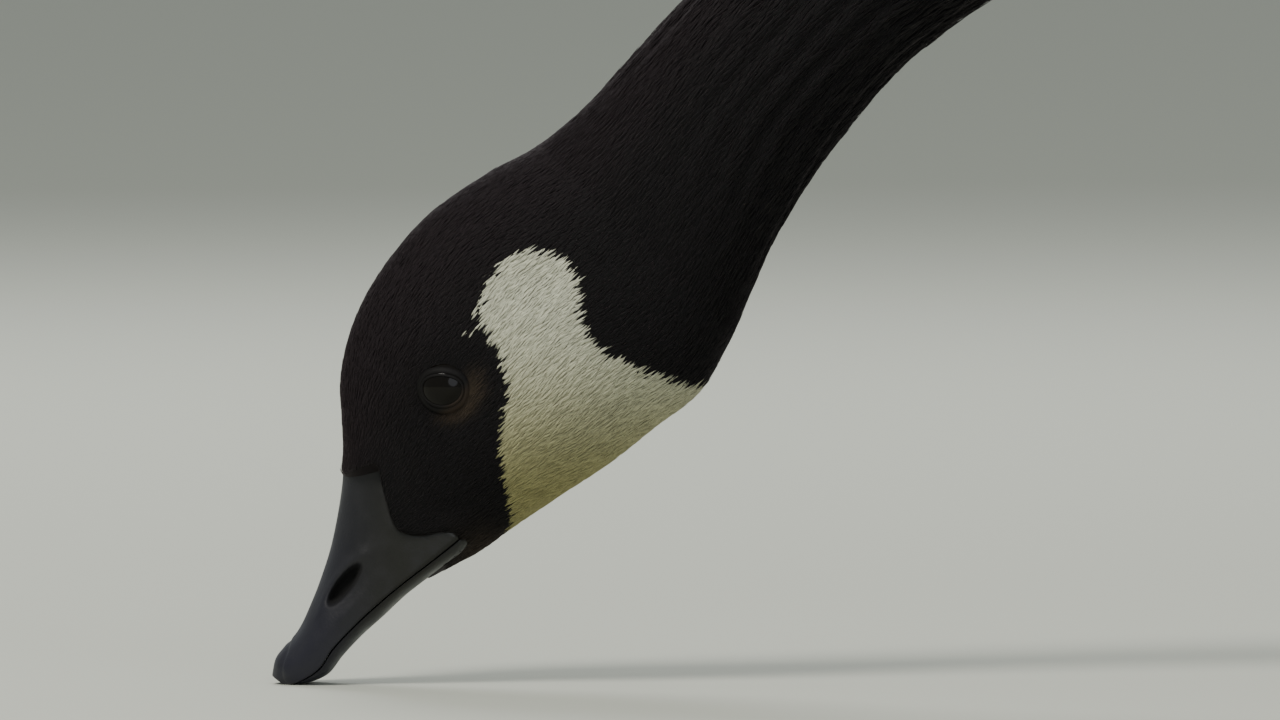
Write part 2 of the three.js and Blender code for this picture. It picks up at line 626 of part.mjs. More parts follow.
function addLeg(name, side) {
  const { foot, hock, thigh } = LEG[name];
  const ankle = [foot[0] + 3, foot[1], ANKLE_Z];
  const knuckle = ellipsoid(KNUCKLE, 0, [foot[0] + 1, foot[1], 7.4]);
  const stemLine = [[foot[0] + 1, foot[1], 7], [ankle[0] + 1, ankle[1], ANKLE_Z + 3]];
  const stem = tube(stemLine, [5.2, 4.6], [5.6, 5.2], 12);
  const hindGirths = [1.3, 0.95, 0.6].map((g) => g * HIND_TOE.radius);
  const hindPoints = [0, 0.6, 1].map((s) =>
    toeEnd(foot, side, HIND_TOE.turn, HIND_TOE.length * s, HIND_TOE.height - HIND_TOE.fall * s));
  const hind = tube(hindPoints, hindGirths, hindGirths, 8);
  const toes = TOES.map((t) => toe(foot, side, t));
  const wholeFoot = union([knuckle, stem, hind, web(foot, side), ...toes]);
  addNode(`foot_${name}`, below(aboveFloor(wholeFoot), ANKLE_Z), LEG_SKIN);

  for (const { name: toeName, turn, length, radius } of TOES)
    addNode(`claw_${name}_${toeName}`,
      aboveFloor(claw(foot, side, turn, length + CLAW_GAP, CLAW_LENGTH, radius, TOE_HEIGHT)), CLAW_HORN);
  addNode(`claw_${name}_hind`, claw(foot, side, HIND_TOE.turn, HIND_TOE.length + CLAW_GAP, HIND_CLAW_LENGTH,
    HIND_TOE.radius, HIND_TOE.height - HIND_TOE.fall), CLAW_HORN);

  const between = (a, b, t) => [0, 1, 2].map((i) => mix(a[i], b[i], t));
  const shank = tube([-0.06, 0.08, 0.3, 0.62, 0.86, 0.96, 1.12].map((t) => between(ankle, hock, t)),
    SHANK_WIDTHS, SHANK_DEPTHS, 12);
  const kneeZ = hock[2] + FEATHER_EDGE;
  addNode(`shank_${name}`, below(above(shank, ANKLE_Z + GAP), kneeZ), LEG_SKIN);

  const thighForm = tube([-0.04, 0.12, 0.24, 0.44, 0.7, 1].map((t) => between(hock, thigh, t)),
    THIGH_WIDTHS, THIGH_DEPTHS, 18);
  addNode(`thigh_${name}`, above(thighForm, kneeZ + GAP).subtract(bodyGrown), BROWN_PLUMAGE);
}

for (const [name, side] of SIDES) addLeg(name, side);

export default group;
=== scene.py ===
# %% [markdown]
# # A Canada goose, grazing
#
# This lesson dresses a life-size model of a Canada goose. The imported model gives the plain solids
# and the frame. Blender adds what the eye reads as a bird: one skin without seams, a coat of small
# feathers, the long vanes of wings and tail, a satin bill, wet eyes and scaled feet. Everything is
# in metres, in the frame of the solids.

import math

import bpy
import numpy as np
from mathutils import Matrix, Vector


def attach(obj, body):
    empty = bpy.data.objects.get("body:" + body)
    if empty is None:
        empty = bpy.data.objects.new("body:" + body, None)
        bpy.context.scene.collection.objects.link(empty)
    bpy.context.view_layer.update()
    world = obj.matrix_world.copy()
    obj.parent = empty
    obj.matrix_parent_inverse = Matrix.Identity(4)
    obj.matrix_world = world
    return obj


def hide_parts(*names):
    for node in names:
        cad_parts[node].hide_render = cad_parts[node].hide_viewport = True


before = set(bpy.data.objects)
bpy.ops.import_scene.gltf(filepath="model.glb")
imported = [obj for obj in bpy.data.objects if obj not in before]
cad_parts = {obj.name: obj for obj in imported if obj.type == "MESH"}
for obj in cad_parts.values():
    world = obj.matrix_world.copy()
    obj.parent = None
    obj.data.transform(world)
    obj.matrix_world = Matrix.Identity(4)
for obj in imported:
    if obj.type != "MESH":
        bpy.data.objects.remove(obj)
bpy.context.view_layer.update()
print("nodes in the frame:", len(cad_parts))

# %% [markdown]
# ## Small helpers
#
# Colours are picked as sRGB hex values, but shaders work in linear light, so one function
# turns the one into the other. Another adds a node with its settings and links. A third makes a
# mesh with named attributes, because here the feathers' colours and directions travel as attributes
# from the skin to every tuft on it.

# %% Helpers for colours, nodes and meshes
MM = 0.001


def linear(code):
    """Linear red, green, blue and alpha of an sRGB hex value."""
    parts = [int(code[i:i + 2], 16) / 255 for i in (1, 3, 5)]
    bent = [c / 12.92 if c <= 0.04045 else ((c + 0.055) / 1.055) ** 2.4 for c in parts]
    return (*bent, 1.0)


def add_node(tree, kind, values=(), **settings):
    """Adds a node with its settings, constants and links.

    A list in values fills the sockets in use in their order, and a dict names or numbers them. Each
    value is a constant, a socket, or a node, which stands for its first output in use.
    """
    made = tree.nodes.new(kind)
    for key, value in settings.items():
        setattr(made, key, value)
    if not isinstance(values, dict):
        values = dict(zip([i for i, socket in enumerate(made.inputs) if socket.enabled], values))
    for key, value in values.items():
        if isinstance(value, bpy.types.Node):
            value = next(socket for socket in value.outputs if socket.enabled)
        if isinstance(value, bpy.types.NodeSocket):
            tree.links.new(value, made.inputs[key])
        else:
            made.inputs[key].default_value = value
    return made


def mesh_object(name, points, faces, attributes=None, smooth=True):
    """A mesh object at the origin. attributes maps a name to a number, vector or colour per point.

    smooth is one flag or one for each face. A flat face beside smooth ones keeps their edge crisp.
    """
    mesh = bpy.data.meshes.new(name)
    mesh.from_pydata(np.asarray(points).tolist(), [], faces)
    flags = [smooth] * len(faces) if isinstance(smooth, bool) else smooth
    mesh.polygons.foreach_set("use_smooth", flags)
    kinds = {1: ("FLOAT", "value"), 3: ("FLOAT_VECTOR", "vector"), 4: ("FLOAT_COLOR", "color")}
    for key, values in (attributes or {}).items():
        values = np.asarray(values, dtype=float).reshape(len(points), -1)
        kind, field = kinds[values.shape[1]]
        mesh.attributes.new(key, kind, "POINT").data.foreach_set(field, values.ravel())
    mesh.update()
    made = bpy.data.objects.new(name, mesh)
    bpy.context.scene.collection.objects.link(made)
    return made


def add_uv(piece, name, corner_uv):
    """Adds a UV map from one pair of numbers for each face corner."""
    layer = piece.data.uv_layers.new(name=name)
    layer.data.foreach_set("uv", np.asarray(corner_uv, dtype=float).ravel())


def corner_points(piece):
    """The point number at each face corner."""
    numbers = np.empty(len(piece.data.loops), dtype=int)
    piece.data.loops.foreach_get("vertex_index", numbers)
    return numbers


def triangles(piece):
    """How many triangles the piece has."""
    return sum(len(face.vertices) - 2 for face in piece.data.polygons)


def smooth_step(low, high, value):
    """0 below low, 1 above high, and a soft rise between them."""
    t = np.clip((value - low) / (high - low), 0, 1)
    return t * t * (3 - 2 * t)


print("middle grey in linear light:", round(linear("#808080")[0], 3))

# %% [markdown]
# ## The forms of body and wings
#
# A bird's body is a long smooth bag, thick at the breast and thin at the neck. A loft suits it:
# each station gives the top and the bottom of the outline in side view, the half width, and where
# the section is widest. The stations of the body and of the shell that the folded wings lie on are
# the same as in the solids, in millimetres from the bill tip, so the skin can't drift away from
# them.

# %% Stations of body and wing shell
TIP_X = -430.0  # where the bill tip lies in the frame
FULLNESS = 2.12  # 2 makes the sections ellipses, more makes them fuller
# top x and z, bottom x and z, half width, share of the depth at which the section is widest
BODY = np.array([
    [15.5, 41.4, 28.8, 21.2, 12.4, 0.5],
    [15.7, 50, 36.5, 24.1, 13.6, 0.5],
    [15.2, 59.9, 45.9, 28.4, 16.0, 0.48],
    [14.9, 70, 55.8, 35.3, 18.8, 0.46],
    [17.6, 81.5, 66.2, 42.3, 21.0, 0.45],
    [23.9, 93.6, 76.5, 49.1, 22.6, 0.45],
    [34.2, 105.8, 86.2, 56.7, 23.4, 0.46],
    [47, 115, 96.6, 65, 23.8, 0.47],
    [58.6, 121.6, 103.6, 76.3, 23.8, 0.48],
    [69.8, 131, 108, 86, 23.6, 0.5],
    [80.6, 142.7, 115, 101, 23.6, 0.5],
    [94.5, 157.5, 127.4, 120.2, 24.2, 0.5],
    [115, 177, 145.4, 140.4, 25.5, 0.5],
    [143, 201, 172, 158.5, 28, 0.5],
    [178, 224, 206, 172.5, 32, 0.5],
    [221, 247, 247, 182, 40, 0.5],
    [268, 268, 286, 175, 54, 0.5],
    [322, 291, 330, 153, 74, 0.5],
    [385, 311, 388, 136, 90, 0.51],
    [450, 324, 450, 130, 97, 0.52],
    [515, 330, 515, 131, 98, 0.52],
    [580, 328, 580, 139, 92, 0.52],
    [640, 319, 642, 156, 79, 0.52],
    [695, 304, 702, 183, 62, 0.52],
    [738, 287, 755, 212, 45, 0.5],
    [773, 280, 794, 244, 31, 0.5],
    [790, 275, 817, 261, 19, 0.5],
])
MANTLE = np.array([
    [335, 297, 343, 160, 75, 0.5],
    [385, 316, 388, 138, 93.5, 0.51],
    [450, 329, 450, 131, 101, 0.52],
    [515, 335, 515, 131, 102.5, 0.52],
    [580, 334, 580, 139, 97.5, 0.52],
    [640, 327, 640, 158, 86, 0.52],
    [700, 313, 700, 188, 70, 0.52],
    [760, 300, 760, 240, 50, 0.5],
    [815, 291, 817, 268, 32, 0.5],
    [850, 287, 853, 275, 20, 0.5],
])
# x, z, radius and height of brow, lore, eye socket, cheek and nape
FACE_RELIEF = np.array([
    [34, 75, 8, 0.9],
    [27, 56, 9, -1.1],
    [38.5, 66.5, 7, -0.7],
    [59, 60, 19, 1.5],
    [65, 86, 14, 0.9],
])
# station numbers at which the regions of the coat meet
CROWN_START, THROAT, NECK_SPLIT, NECK_BASE, COLLAR = 4.2, 8.0, 12.0, 15.0, 16.7
FLANK_START, VENT_START, BODY_END = 19.2, 21.8, 26.0
print("body stations:", len(BODY), "wing shell stations:", len(MANTLE))

# %% [markdown]
# ## Any point on a form
#
# The loft is a function of a station number and an angle, so it gives a point anywhere, not only at
# its stations. A Catmull-Rom curve runs smoothly through the stations, and a section a little
# fuller than an ellipse turns the angle into a place. Neighbouring points give the directions
# along, around and out of the form, which the feathers need.

# %% Points on the forms
def through(rows, u):
    """Smooth values at station numbers u through equally spaced rows."""
    last = len(rows) - 1
    i = np.clip(np.floor(u).astype(int), 0, last - 1)
    t = (u - i)[..., None]
    a, b, c, d = (rows[np.clip(i + step, 0, last)] for step in (-1, 0, 1, 2))
    return b + 0.5 * t * (c - a + t * (2 * a - 5 * b + 4 * c - d + t * (3 * (b - c) + d - a)))


def form_point(stations, u, angle, grow=0.0):
    """Points in mm at station numbers u and angles, which are 0 on the spine and grow to the right."""
    u, angle, grow = np.broadcast_arrays(*(np.asarray(given, float) for given in (u, angle, grow)))
    v = through(stations, u)
    top, bottom, half, widest = v[..., 0:2], v[..., 2:4], v[..., 4], v[..., 5]
    across = top - bottom
    depth = np.linalg.norm(across, axis=-1)
    up, out = np.cos(angle), np.sin(angle)
    rounded = lambda w: np.sign(w) * np.abs(w) ** (2 / FULLNESS)
    reach = np.where(up >= 0, 1 - widest, widest) * depth + grow
    share = ((widest * depth + rounded(up) * reach) / depth)[..., None]
    side = bottom + across * share
    return np.stack([side[..., 0], (half + grow) * rounded(out), side[..., 1]], axis=-1)


def body_point(u, angle, grow=0.0):
    """Points on the body form, with the swellings and hollows of the face."""
    p = form_point(BODY, u, angle, grow)
    for x, z, radius, height in FACE_RELIEF:
        far = ((p[..., 0] - x) ** 2 + (p[..., 2] - z) ** 2) / radius ** 2
        p[..., 1] += height * np.exp(-far) * np.clip(p[..., 1] / 10, -1, 1)
    return p


def directions(form, u, angle):
    """Unit vectors along, around and out of a form."""
    along = form(u + 0.03, angle) - form(u - 0.03, angle)
    around = form(u, angle + 0.02) - form(u, angle - 0.02)
    out = np.cross(along, around)
    found = (along, around, out)
    return [v / np.maximum(np.linalg.norm(v, axis=-1, keepdims=True), 1e-9) for v in found]


def placed(p):
    """Millimetres from the bill tip to metres in the frame."""
    return (np.asarray(p) + [TIP_X, 0, 0]) * MM


def ripple(p, size):
    """Soft random-looking numbers from -1 to 1 that change over about size, in the units of p."""
    q = p / size
    waves = np.sin(q[..., 0] * 2.1 + 1.3 * np.sin(q[..., 2] * 1.7) + 0.4)
    waves = waves + np.sin(q[..., 1] * 2.7 + 1.1 * np.sin(q[..., 0] * 1.3 + 2.0))
    waves = waves + np.sin(q[..., 2] * 2.3 + 1.2 * np.sin(q[..., 1] * 1.9 + 4.0))
    return waves / 3


print("half width at the collar, mm:", round(float(body_point(COLLAR, math.pi / 2)[1]), 1))

# %% [markdown]
# ## Where the bill begins and where the white cheek lies
#
# Two outlines seen from the side name this bird: the line where the feathers stop at the bill,
# which points forward between bill and eye and again at the corner of the mouth, and the white
# chinstrap that runs from the throat up behind the eye. Both are short lists of corners in
# millimetres. A signed distance to such an outline, positive inside, is handy: it cuts a soft or a
# ragged edge at any scale.

# %% Outlines on the face
FEATHER_LINE = [
    (-20, 47.6), (16.2, 47.4), (20, 49.2), (23.9, 50.6), (24.4, 47.2), (25.2, 43.8), (26.2, 40.6),
    (27.2, 37.4), (28, 35.6), (31, 34.3), (34, 34), (37.8, 35), (41.2, 34.6), (42.6, 32.4),
    (41.4, 29.8), (38.6, 27.2), (35.6, 24.2), (33.6, 20), (33, -12), (-20, -12),
]
WHITE_CHEEK = [
    (53, 96.8), (49.6, 93), (47.2, 88.4), (46.8, 84.6), (48.4, 79.7), (51.6, 74.6), (53, 69),
    (52.6, 62), (51, 56.4), (52, 50), (52.8, 44), (54.2, 38), (52.4, 33), (50, 24), (62, 14),
    (120, 50), (104, 66.4), (96.4, 66.9), (89, 69.4), (80.5, 72.6), (74, 76.4), (70.4, 81),
    (68.9, 86.4), (68.7, 91), (67.2, 94.6), (64, 97.4), (58, 98.3),
]
WHITE_FLECKS = [(45.2, 84.2), (45.5, 81.6), (43.8, 79.9)]
FLECK_RADIUS = 0.45


def inside_distance(outline, x, z):
    """Distance in millimetres to the edge of a closed outline, positive inside and negative outside."""
    corners = np.array(outline, dtype=float)
    nearest = np.full(x.shape, 1e9)
    inside = np.zeros(x.shape, dtype=bool)
    for (x0, z0), (x1, z1) in zip(corners, np.roll(corners, -1, axis=0)):
        dx, dz = x1 - x0, z1 - z0
        run = np.clip(((x - x0) * dx + (z - z0) * dz) / (dx ** 2 + dz ** 2), 0, 1)
        nearest = np.minimum(nearest, np.hypot(x - x0 - run * dx, z - z0 - run * dz))
        crosses = (z0 > z) != (z1 > z)
        edge = x0 + (z - z0) * dx / (dz if dz != 0 else 1e-9)
        inside ^= crosses & (x < edge)
    return np.where(inside, nearest, -nearest)


print("corners of the two outlines:", len(FEATHER_LINE), len(WHITE_CHEEK))

# %% [markdown]
# ## The seat of each eye
#
# In side view the eye lies where the solids have it. The point of the skin at that place and the
# direction out of the skin there are found on the form itself, so that lids and feathers gather
# around the eye.

# %% Find the eyes
EYE_AT = (38.5, 67.2)  # x and z of the eye in side view
EYE_RADIUS = 7.0
EYE_PROUD = 1.8  # how far the ball stands out of the skin's form
seat_u, seat_angle = np.meshgrid(np.linspace(1.5, 6.5, 500), np.linspace(0.3, 2.8, 500))
seat_points = body_point(seat_u, seat_angle)
seat_miss = (seat_points[..., 0] - EYE_AT[0]) ** 2 + (seat_points[..., 2] - EYE_AT[1]) ** 2
seat = np.unravel_index(np.argmin(seat_miss), seat_miss.shape)
EYE_SEAT = seat_points[seat]
EYE_OUT = directions(body_point, seat_u[seat], seat_angle[seat])[2]
EYE_OUT = -EYE_OUT if EYE_OUT[1] < 0 else EYE_OUT
EYE_CENTRE = EYE_SEAT + EYE_OUT * (EYE_PROUD - EYE_RADIUS)
print("eye seat, mm from the bill tip:", EYE_SEAT.round(1))

# %% [markdown]
# ## The skin
#
# One closed skin replaces head, neck, torso, rump and thighs, so no seam shows between them. It
# lies inside the solids by the depth of the coat: under a millimetre at the bill, a few millimetres
# on the body. A loft in code gives every point its station and angle for nothing, and from those
# come the direction in which the feathers lie, their length, their colour and an unwrap. A sculpted
# mesh would have to be painted with all of these.

# %% Rows of the skin
ANGLES = 128  # points in a row
FACE_ROWS = 46
FACE_END = 4.0  # station at which the rows of the face end
ROW_GAPS = ([4, 8, 14, 19, 26], [1.1, 1.4, 2.6, 5.0, 4.0])  # stations, and mm between rows there


def front_edge(angle):
    """Station number where the feathers begin at this angle."""
    u = np.linspace(0, FACE_END, 800)
    p = body_point(u, angle)
    within = inside_distance(FEATHER_LINE, p[:, 0], p[:, 2]) > 0
    return u[np.nonzero(within)[0].max()] if within.any() else 0.0


def skin_stations():
    """Station numbers of the rows behind the face, closer together where the bird is slim."""
    rows = [FACE_END]
    while rows[-1] < BODY_END:
        u = rows[-1]
        ahead, behind = (body_point(u + step, math.pi / 2) for step in (0.05, -0.05))
        rows.append(u + np.interp(u, *ROW_GAPS) / (np.linalg.norm(ahead - behind) * 10))
    return np.array(rows[1:-1] + [BODY_END])


angle_row = np.linspace(0, 2 * math.pi, ANGLES, endpoint=False)
front = np.array([front_edge(a) for a in angle_row])
front = (np.roll(front, 1) + 2 * front + np.roll(front, -1)) / 4
share = np.linspace(0, 1, FACE_ROWS + 1)[:, None]
rows_behind = np.repeat(skin_stations()[:, None], ANGLES, axis=1)
skin_u = np.vstack([front + (FACE_END - front) * share, rows_behind])
skin_angle = np.broadcast_to(angle_row, skin_u.shape)
print("skin rows:", len(skin_u))

# %% [markdown]
# ## How deep the skin lies
#
# The outline of a bird is the tips of its feathers, so the skin lies below it by the depth of the
# coat. On the neck a goose's feathers fall into long grooves. They are pressed into the skin
# itself, because then every feather on it follows them.

# %% Depth of the coat and furrows of the neck
COAT_DEPTH = ([0, 7, 12, 16, 19, 24, 26], [1.0, 1.2, 2.0, 3.2, 5.0, 4.5, 3.0])  # stations, mm
FURROWS, FURROW_DEPTH = 23, 0.42  # how many round the neck, and mm


def coat_depth(u, behind_edge):
    """How far the skin lies inside the outline, in mm. It runs out to nothing at the bill."""
    depth = np.interp(u, *COAT_DEPTH)
    return depth * (0.15 + 0.85 * smooth_step(0, 0.9, behind_edge))


def furrows(u, angle):
    """The long grooves that the feathers of a goose's neck fall into, in mm."""
    strength = smooth_step(8.5, 11, u) * (1 - smooth_step(16, 17.5, u))
    wander = 0.5 * np.sin(u * 0.9) + 0.35 * np.sin(u * 2.3 + 3 * np.cos(angle))
    return FURROW_DEPTH * strength * np.sin(FURROWS * angle + 3 * wander)


skin_u = np.vstack([skin_u[:1], skin_u])
skin_angle = np.vstack([skin_angle[:1], skin_angle])
grow = furrows(skin_u, skin_angle) - coat_depth(skin_u, skin_u - front)
grow[0] -= 0.5
skin_points = body_point(skin_u, skin_angle, grow)
skin_along = directions(body_point, skin_u, skin_angle)[0]
print("skin points:", skin_points.shape[0] * skin_points.shape[1])

# %% [markdown]
# ## Colours of the plumage
#
# The colour of each place comes from where it is on the bird: black head and neck down to a sharp
# collar, with a painted purple-brown sheen along their upper side, a pale grey-buff breast that
# darkens into brown flanks, a brown back with paler feather edges, and a pure white vent. The white
# cheek turns darker and olive towards the chin: painted shade with a painted olive reflection of the
# ground. The white patch isn't painted into the colours but kept as a distance, so that every tuft
# turns wholly black or wholly white and the edge looks ragged.

# %% Colour of each place on the body
BLACK = np.array(linear("#080708"))
# a painted sheen: upper side of head and neck lighter and purple-brown, as where the light falls
PAINTED_CROWN_SHEEN = np.array(linear("#1b1417"))
BREAST = np.array(linear("#b3a690"))
FLANK = np.array(linear("#84725f"))
BELLY = np.array(linear("#c9bfae"))
BACK = np.array(linear("#665546"))
EYE_BROWN = np.array(linear("#43382a"))
RUMP_BLACK = np.array(linear("#1f1a18"))
VENT = np.array(linear("#dedacf"))


def blend(a, b, amount):
    return a + (b - a) * np.asarray(amount)[..., None]


def plumage(u, angle, p):
    """Linear colour of the coat at each place, without the white cheek."""
    low = (1 - np.cos(angle)) / 2
    wander = 0.6 * ripple(p, 30)
    # painted sheen along the upper side of head and neck
    colour = blend(BLACK, PAINTED_CROWN_SHEEN, smooth_step(0.4, 0.0, low) * smooth_step(17, 8, u))
    dx, dz = p[..., 0] - EYE_AT[0], p[..., 2] - EYE_AT[1]
    ring = np.exp(-((np.hypot(dx, dz) - 6.8) / 1.7) ** 2)
    crescent = ring * smooth_step(0.1, 0.9, (dx - 0.7 * dz) / 8)
    colour = blend(colour, EYE_BROWN, 0.75 * crescent)
    chin = np.exp(-((p[..., 0] - 47) / 6) ** 2 - ((p[..., 2] - 28) / 6) ** 2)
    colour = blend(colour, EYE_BROWN, 0.6 * chin)
    body = blend(BREAST, FLANK, smooth_step(17.6, 20.5, u + 0.5 * wander))
    body = blend(body, BELLY, smooth_step(0.72, 0.93, low + 0.03 * wander))
    back = smooth_step(0.5, 0.28, low + 0.04 * wander) * smooth_step(16.7, 17.6, u)
    body = blend(body, BACK, back)
    body = blend(body, RUMP_BLACK, smooth_step(22.2, 22.8, u) * smooth_step(0.14, 0.1, low))
    vent = smooth_step(22.4, 23.4, u + 0.3 * wander) * smooth_step(0.12, 0.17, low)
    body = blend(body, VENT, vent)
    body = blend(body, VENT, smooth_step(24.2, 24.6, u))
    return blend(colour, body, smooth_step(COLLAR - 0.06, COLLAR + 0.06, u + 0.05 * ripple(p, 5)))


print("breast in linear light:", BREAST[:3].round(3))

# %% [markdown]
# ## Where feathers grow, and how long
#
# Feathers are shortest round bill and eye and longest on the flanks. The lids are bare, and below a
# folded wing no body feather shows. Each region of the coat later gets a cover, a number of 1 or 0
# on every point of the skin, and grows only where its cover is 1.

# %% Lengths and bare places
LENGTH_AT = (
    [0, 2, 4, 8, 11, 14, 16.5, 18, 20, 24, 26],
    [1.9, 2.4, 2.9, 3.6, 5.0, 7.5, 11, 14, 18, 18, 15],
)
BARE_LID = 5.1  # radius round the seat of the eye
WING_FROM, WING_TO = 372, 690  # x between which a folded wing hides the body
CHIN_X, CHIN_Z = 38.5, 27  # the bare corner below the mouth lies before and below these


def cover(u, low, high):
    """1 between two stations and 0 elsewhere."""
    return ((u >= low) & (u < high)).astype(float)


both_seats = (EYE_SEAT, EYE_SEAT * [1, -1, 1])
eye_far = np.minimum(*(np.linalg.norm(skin_points - at, axis=-1) for at in both_seats))
under_wing = (np.abs(np.sin(skin_angle)) > 0.55) & (np.cos(skin_angle) > -0.02)
under_wing &= (skin_points[..., 0] > WING_FROM) & (skin_points[..., 0] < WING_TO)
open_skin = (~under_wing).astype(float)
clear_of_eye = (eye_far > BARE_LID).astype(float)
off_edge = np.ones(skin_u.shape)
off_edge[[0, -1]] = 0
off_edge[(skin_points[..., 0] < CHIN_X) & (skin_points[..., 2] < CHIN_Z)] = 0
length = np.interp(skin_u, *LENGTH_AT) * np.where(skin_u - front < 0.5, 0.75, 1.0)
length = length * (0.5 + 0.5 * smooth_step(BARE_LID, 11, eye_far))
print("feather lengths, mm:", length.min().round(1), "to", length.max().round(1))

# %% [markdown]
# ## Lofts, fans and tubes
#
# Skin, thighs, bill, eyes and toes are all rows of points that close round. Quads join neighbouring
# rows, and a fan of triangles closes each open end. A tube is such a loft along a line, whose rings
# stand square to it. Writing the faces in code keeps the order of the points known, which the
# colours and unwraps rely on.

# %% Faces of lofts and rings of tubes
def loft_faces(rows, columns, first=0):
    """Quads between rows of points that close round, in the order of the points."""
    faces = []
    for r in range(rows - 1):
        for c in range(columns):
            a, b = first + r * columns + c, first + r * columns + (c + 1) % columns
            faces.append((a, b, b + columns, a + columns))
    return faces


def fan_faces(ring, centre, forward):
    """Triangles from a ring of point numbers to a centre."""
    pairs = zip(ring, ring[1:] + ring[:1])
    return [(b, a, centre) if forward else (a, b, centre) for a, b in pairs]


def closed_loft(rings, ends=None, first=0):
    """Points and faces of a loft with a fan over each end. The points are numbered from first."""
    rows, columns = rings.shape[:2]
    last, centre = first + (rows - 1) * columns, first + rows * columns
    faces = loft_faces(rows, columns, first)
    faces += fan_faces(list(range(first, first + columns)), centre, True)
    faces += fan_faces(list(range(last, last + columns)), centre + 1, False)
    ends = [rings[0].mean(axis=0), rings[-1].mean(axis=0)] if ends is None else ends
    return np.vstack([rings.reshape(-1, 3), ends]), faces


def spine_rings(points, widths, heights, sides):
    """Rings of points across a line of points, each with its half width and half height."""
    spine = np.asarray(points, dtype=float)
    rings = []
    for i, p in enumerate(spine):
        along = spine[min(i + 1, len(spine) - 1)] - spine[max(i - 1, 0)]
        along = along / np.linalg.norm(along)
        level = np.array([0.0, 1, 0]) if abs(along[2]) > 0.85 else np.cross([0.0, 0, 1], along)
        across = level - along * level.dot(along)
        across = across / np.linalg.norm(across)
        over = np.cross(along, across)
        turn = np.linspace(0, 2 * math.pi, sides, endpoint=False)[:, None]
        rings.append(p + across * widths[i] * np.cos(turn) + over * heights[i] * np.sin(turn))
    return np.array(rings)


print("faces of a loft of 3 rings of 8:", len(closed_loft(np.zeros((3, 8, 3)))[1]))

# %% [markdown]
# ## The thighs
#
# A goose's thigh is a feathered drumstick that comes out of the belly. Each is a short loft from
# the hock into the body. Feathers grow only where it stands clear of the body form, so that no knob
# shows where the two meet.

# %% Thighs
LEGS = {
    "left": {"side": -1, "foot": (478, -44), "hock": (513, -47, 96), "thigh": (497, -55, 190)},
    "right": {"side": 1, "foot": (508, 44), "hock": (543, 47, 96), "thigh": (522, 55, 190)},
}
THIGH_SHARES = [0.03, 0.12, 0.24, 0.44, 0.7, 1.0]  # from the hock to the body
THIGH_WIDTHS = [6.0, 7.0, 10.5, 15.5, 18, 15]
THIGH_DEPTHS = [6.8, 8.0, 13.5, 23.5, 31, 26]
THIGH_LENGTHS = ([98, 125, 150], [7, 9, 12])  # height above the floor, length of the feathers there
THIGH_RINGS, THIGH_SIDES = 34, 40


def body_share(p):
    """Where points lie against the body form: below 1 they are inside it."""
    v = through(BODY, np.interp(p[:, 0], BODY[8:, 0], np.arange(8, len(BODY))))
    reach = (v[:, 1] - v[:, 3]) * v[:, 5]
    across = (np.abs(p[:, 1]) / v[:, 4]) ** FULLNESS
    return across + (np.abs(p[:, 2] - v[:, 3] - reach) / reach) ** FULLNESS


def thigh_rings(leg):
    shares = np.linspace(THIGH_SHARES[0], 1.0, THIGH_RINGS)
    start, end = np.array(leg["hock"], float), np.array(leg["thigh"], float)
    widths = np.interp(shares, THIGH_SHARES, THIGH_WIDTHS)
    heights = np.interp(shares, THIGH_SHARES, THIGH_DEPTHS)
    return spine_rings([start + (end - start) * s for s in shares], widths, heights, THIGH_SIDES)


print("thigh rings:", THIGH_RINGS, "of", THIGH_SIDES, "points")

# %% [markdown]
# ## Closing the skin
#
# The rows become quads, and the two open ends are closed by fans: the front one lies inside the
# bill and the rear one under the tail. The two thighs join the same mesh, sunk into the belly.
# Every point carries the way its feather lies, its colour, its length, its distance to the edge of
# the white cheek and its covers.

# %% Points, faces and markings of the body
NO_PATCH = -99.0  # far outside the white cheek
SKIN_V = 0.8  # the body takes this share of the unwrap, and the thighs lie above it

points = [skin_points.reshape(-1, 3)]
rows = len(skin_u)
faces = [face[::-1] for face in loft_faces(rows, ANGLES)]
uv_rows = np.linspace(0, SKIN_V, rows)
body_uv = np.broadcast_arrays(angle_row / (2 * math.pi), uv_rows[:, None])
point_uv = [np.stack(body_uv, axis=-1).reshape(-1, 2)]
count = rows * ANGLES
points.append([skin_points[0].mean(axis=0) + [3, 0, 4], skin_points[-1].mean(axis=0) + [4, 0, 0]])
faces += fan_faces(list(range(ANGLES)), count, False)
faces += fan_faces(list(range(count - ANGLES, count)), count + 1, True)
point_uv.append([[0.5, 0.0], [0.5, SKIN_V]])
count += 2
lie = [skin_along.reshape(-1, 3), [[1, 0, 0], [1, 0, 0]]]
colour = [plumage(skin_u, skin_angle, skin_points).reshape(-1, 4), [BLACK, VENT]]
tuft_middle = skin_points + skin_along * (0.5 * length)[..., None]
patch = inside_distance(WHITE_CHEEK, tuft_middle[..., 0], tuft_middle[..., 2])
for x, z in WHITE_FLECKS:
    fleck = FLECK_RADIUS - np.hypot(tuft_middle[..., 0] - x, tuft_middle[..., 2] - z)
    patch = np.maximum(patch, fleck)
patch = [patch.ravel(), [NO_PATCH, NO_PATCH]]
bare_patch = inside_distance(WHITE_CHEEK, skin_points[..., 0], skin_points[..., 2]).ravel()
sizes = [length.ravel(), [2, 20]]
upper_half = (np.cos(skin_angle) > 0.1).astype(float)
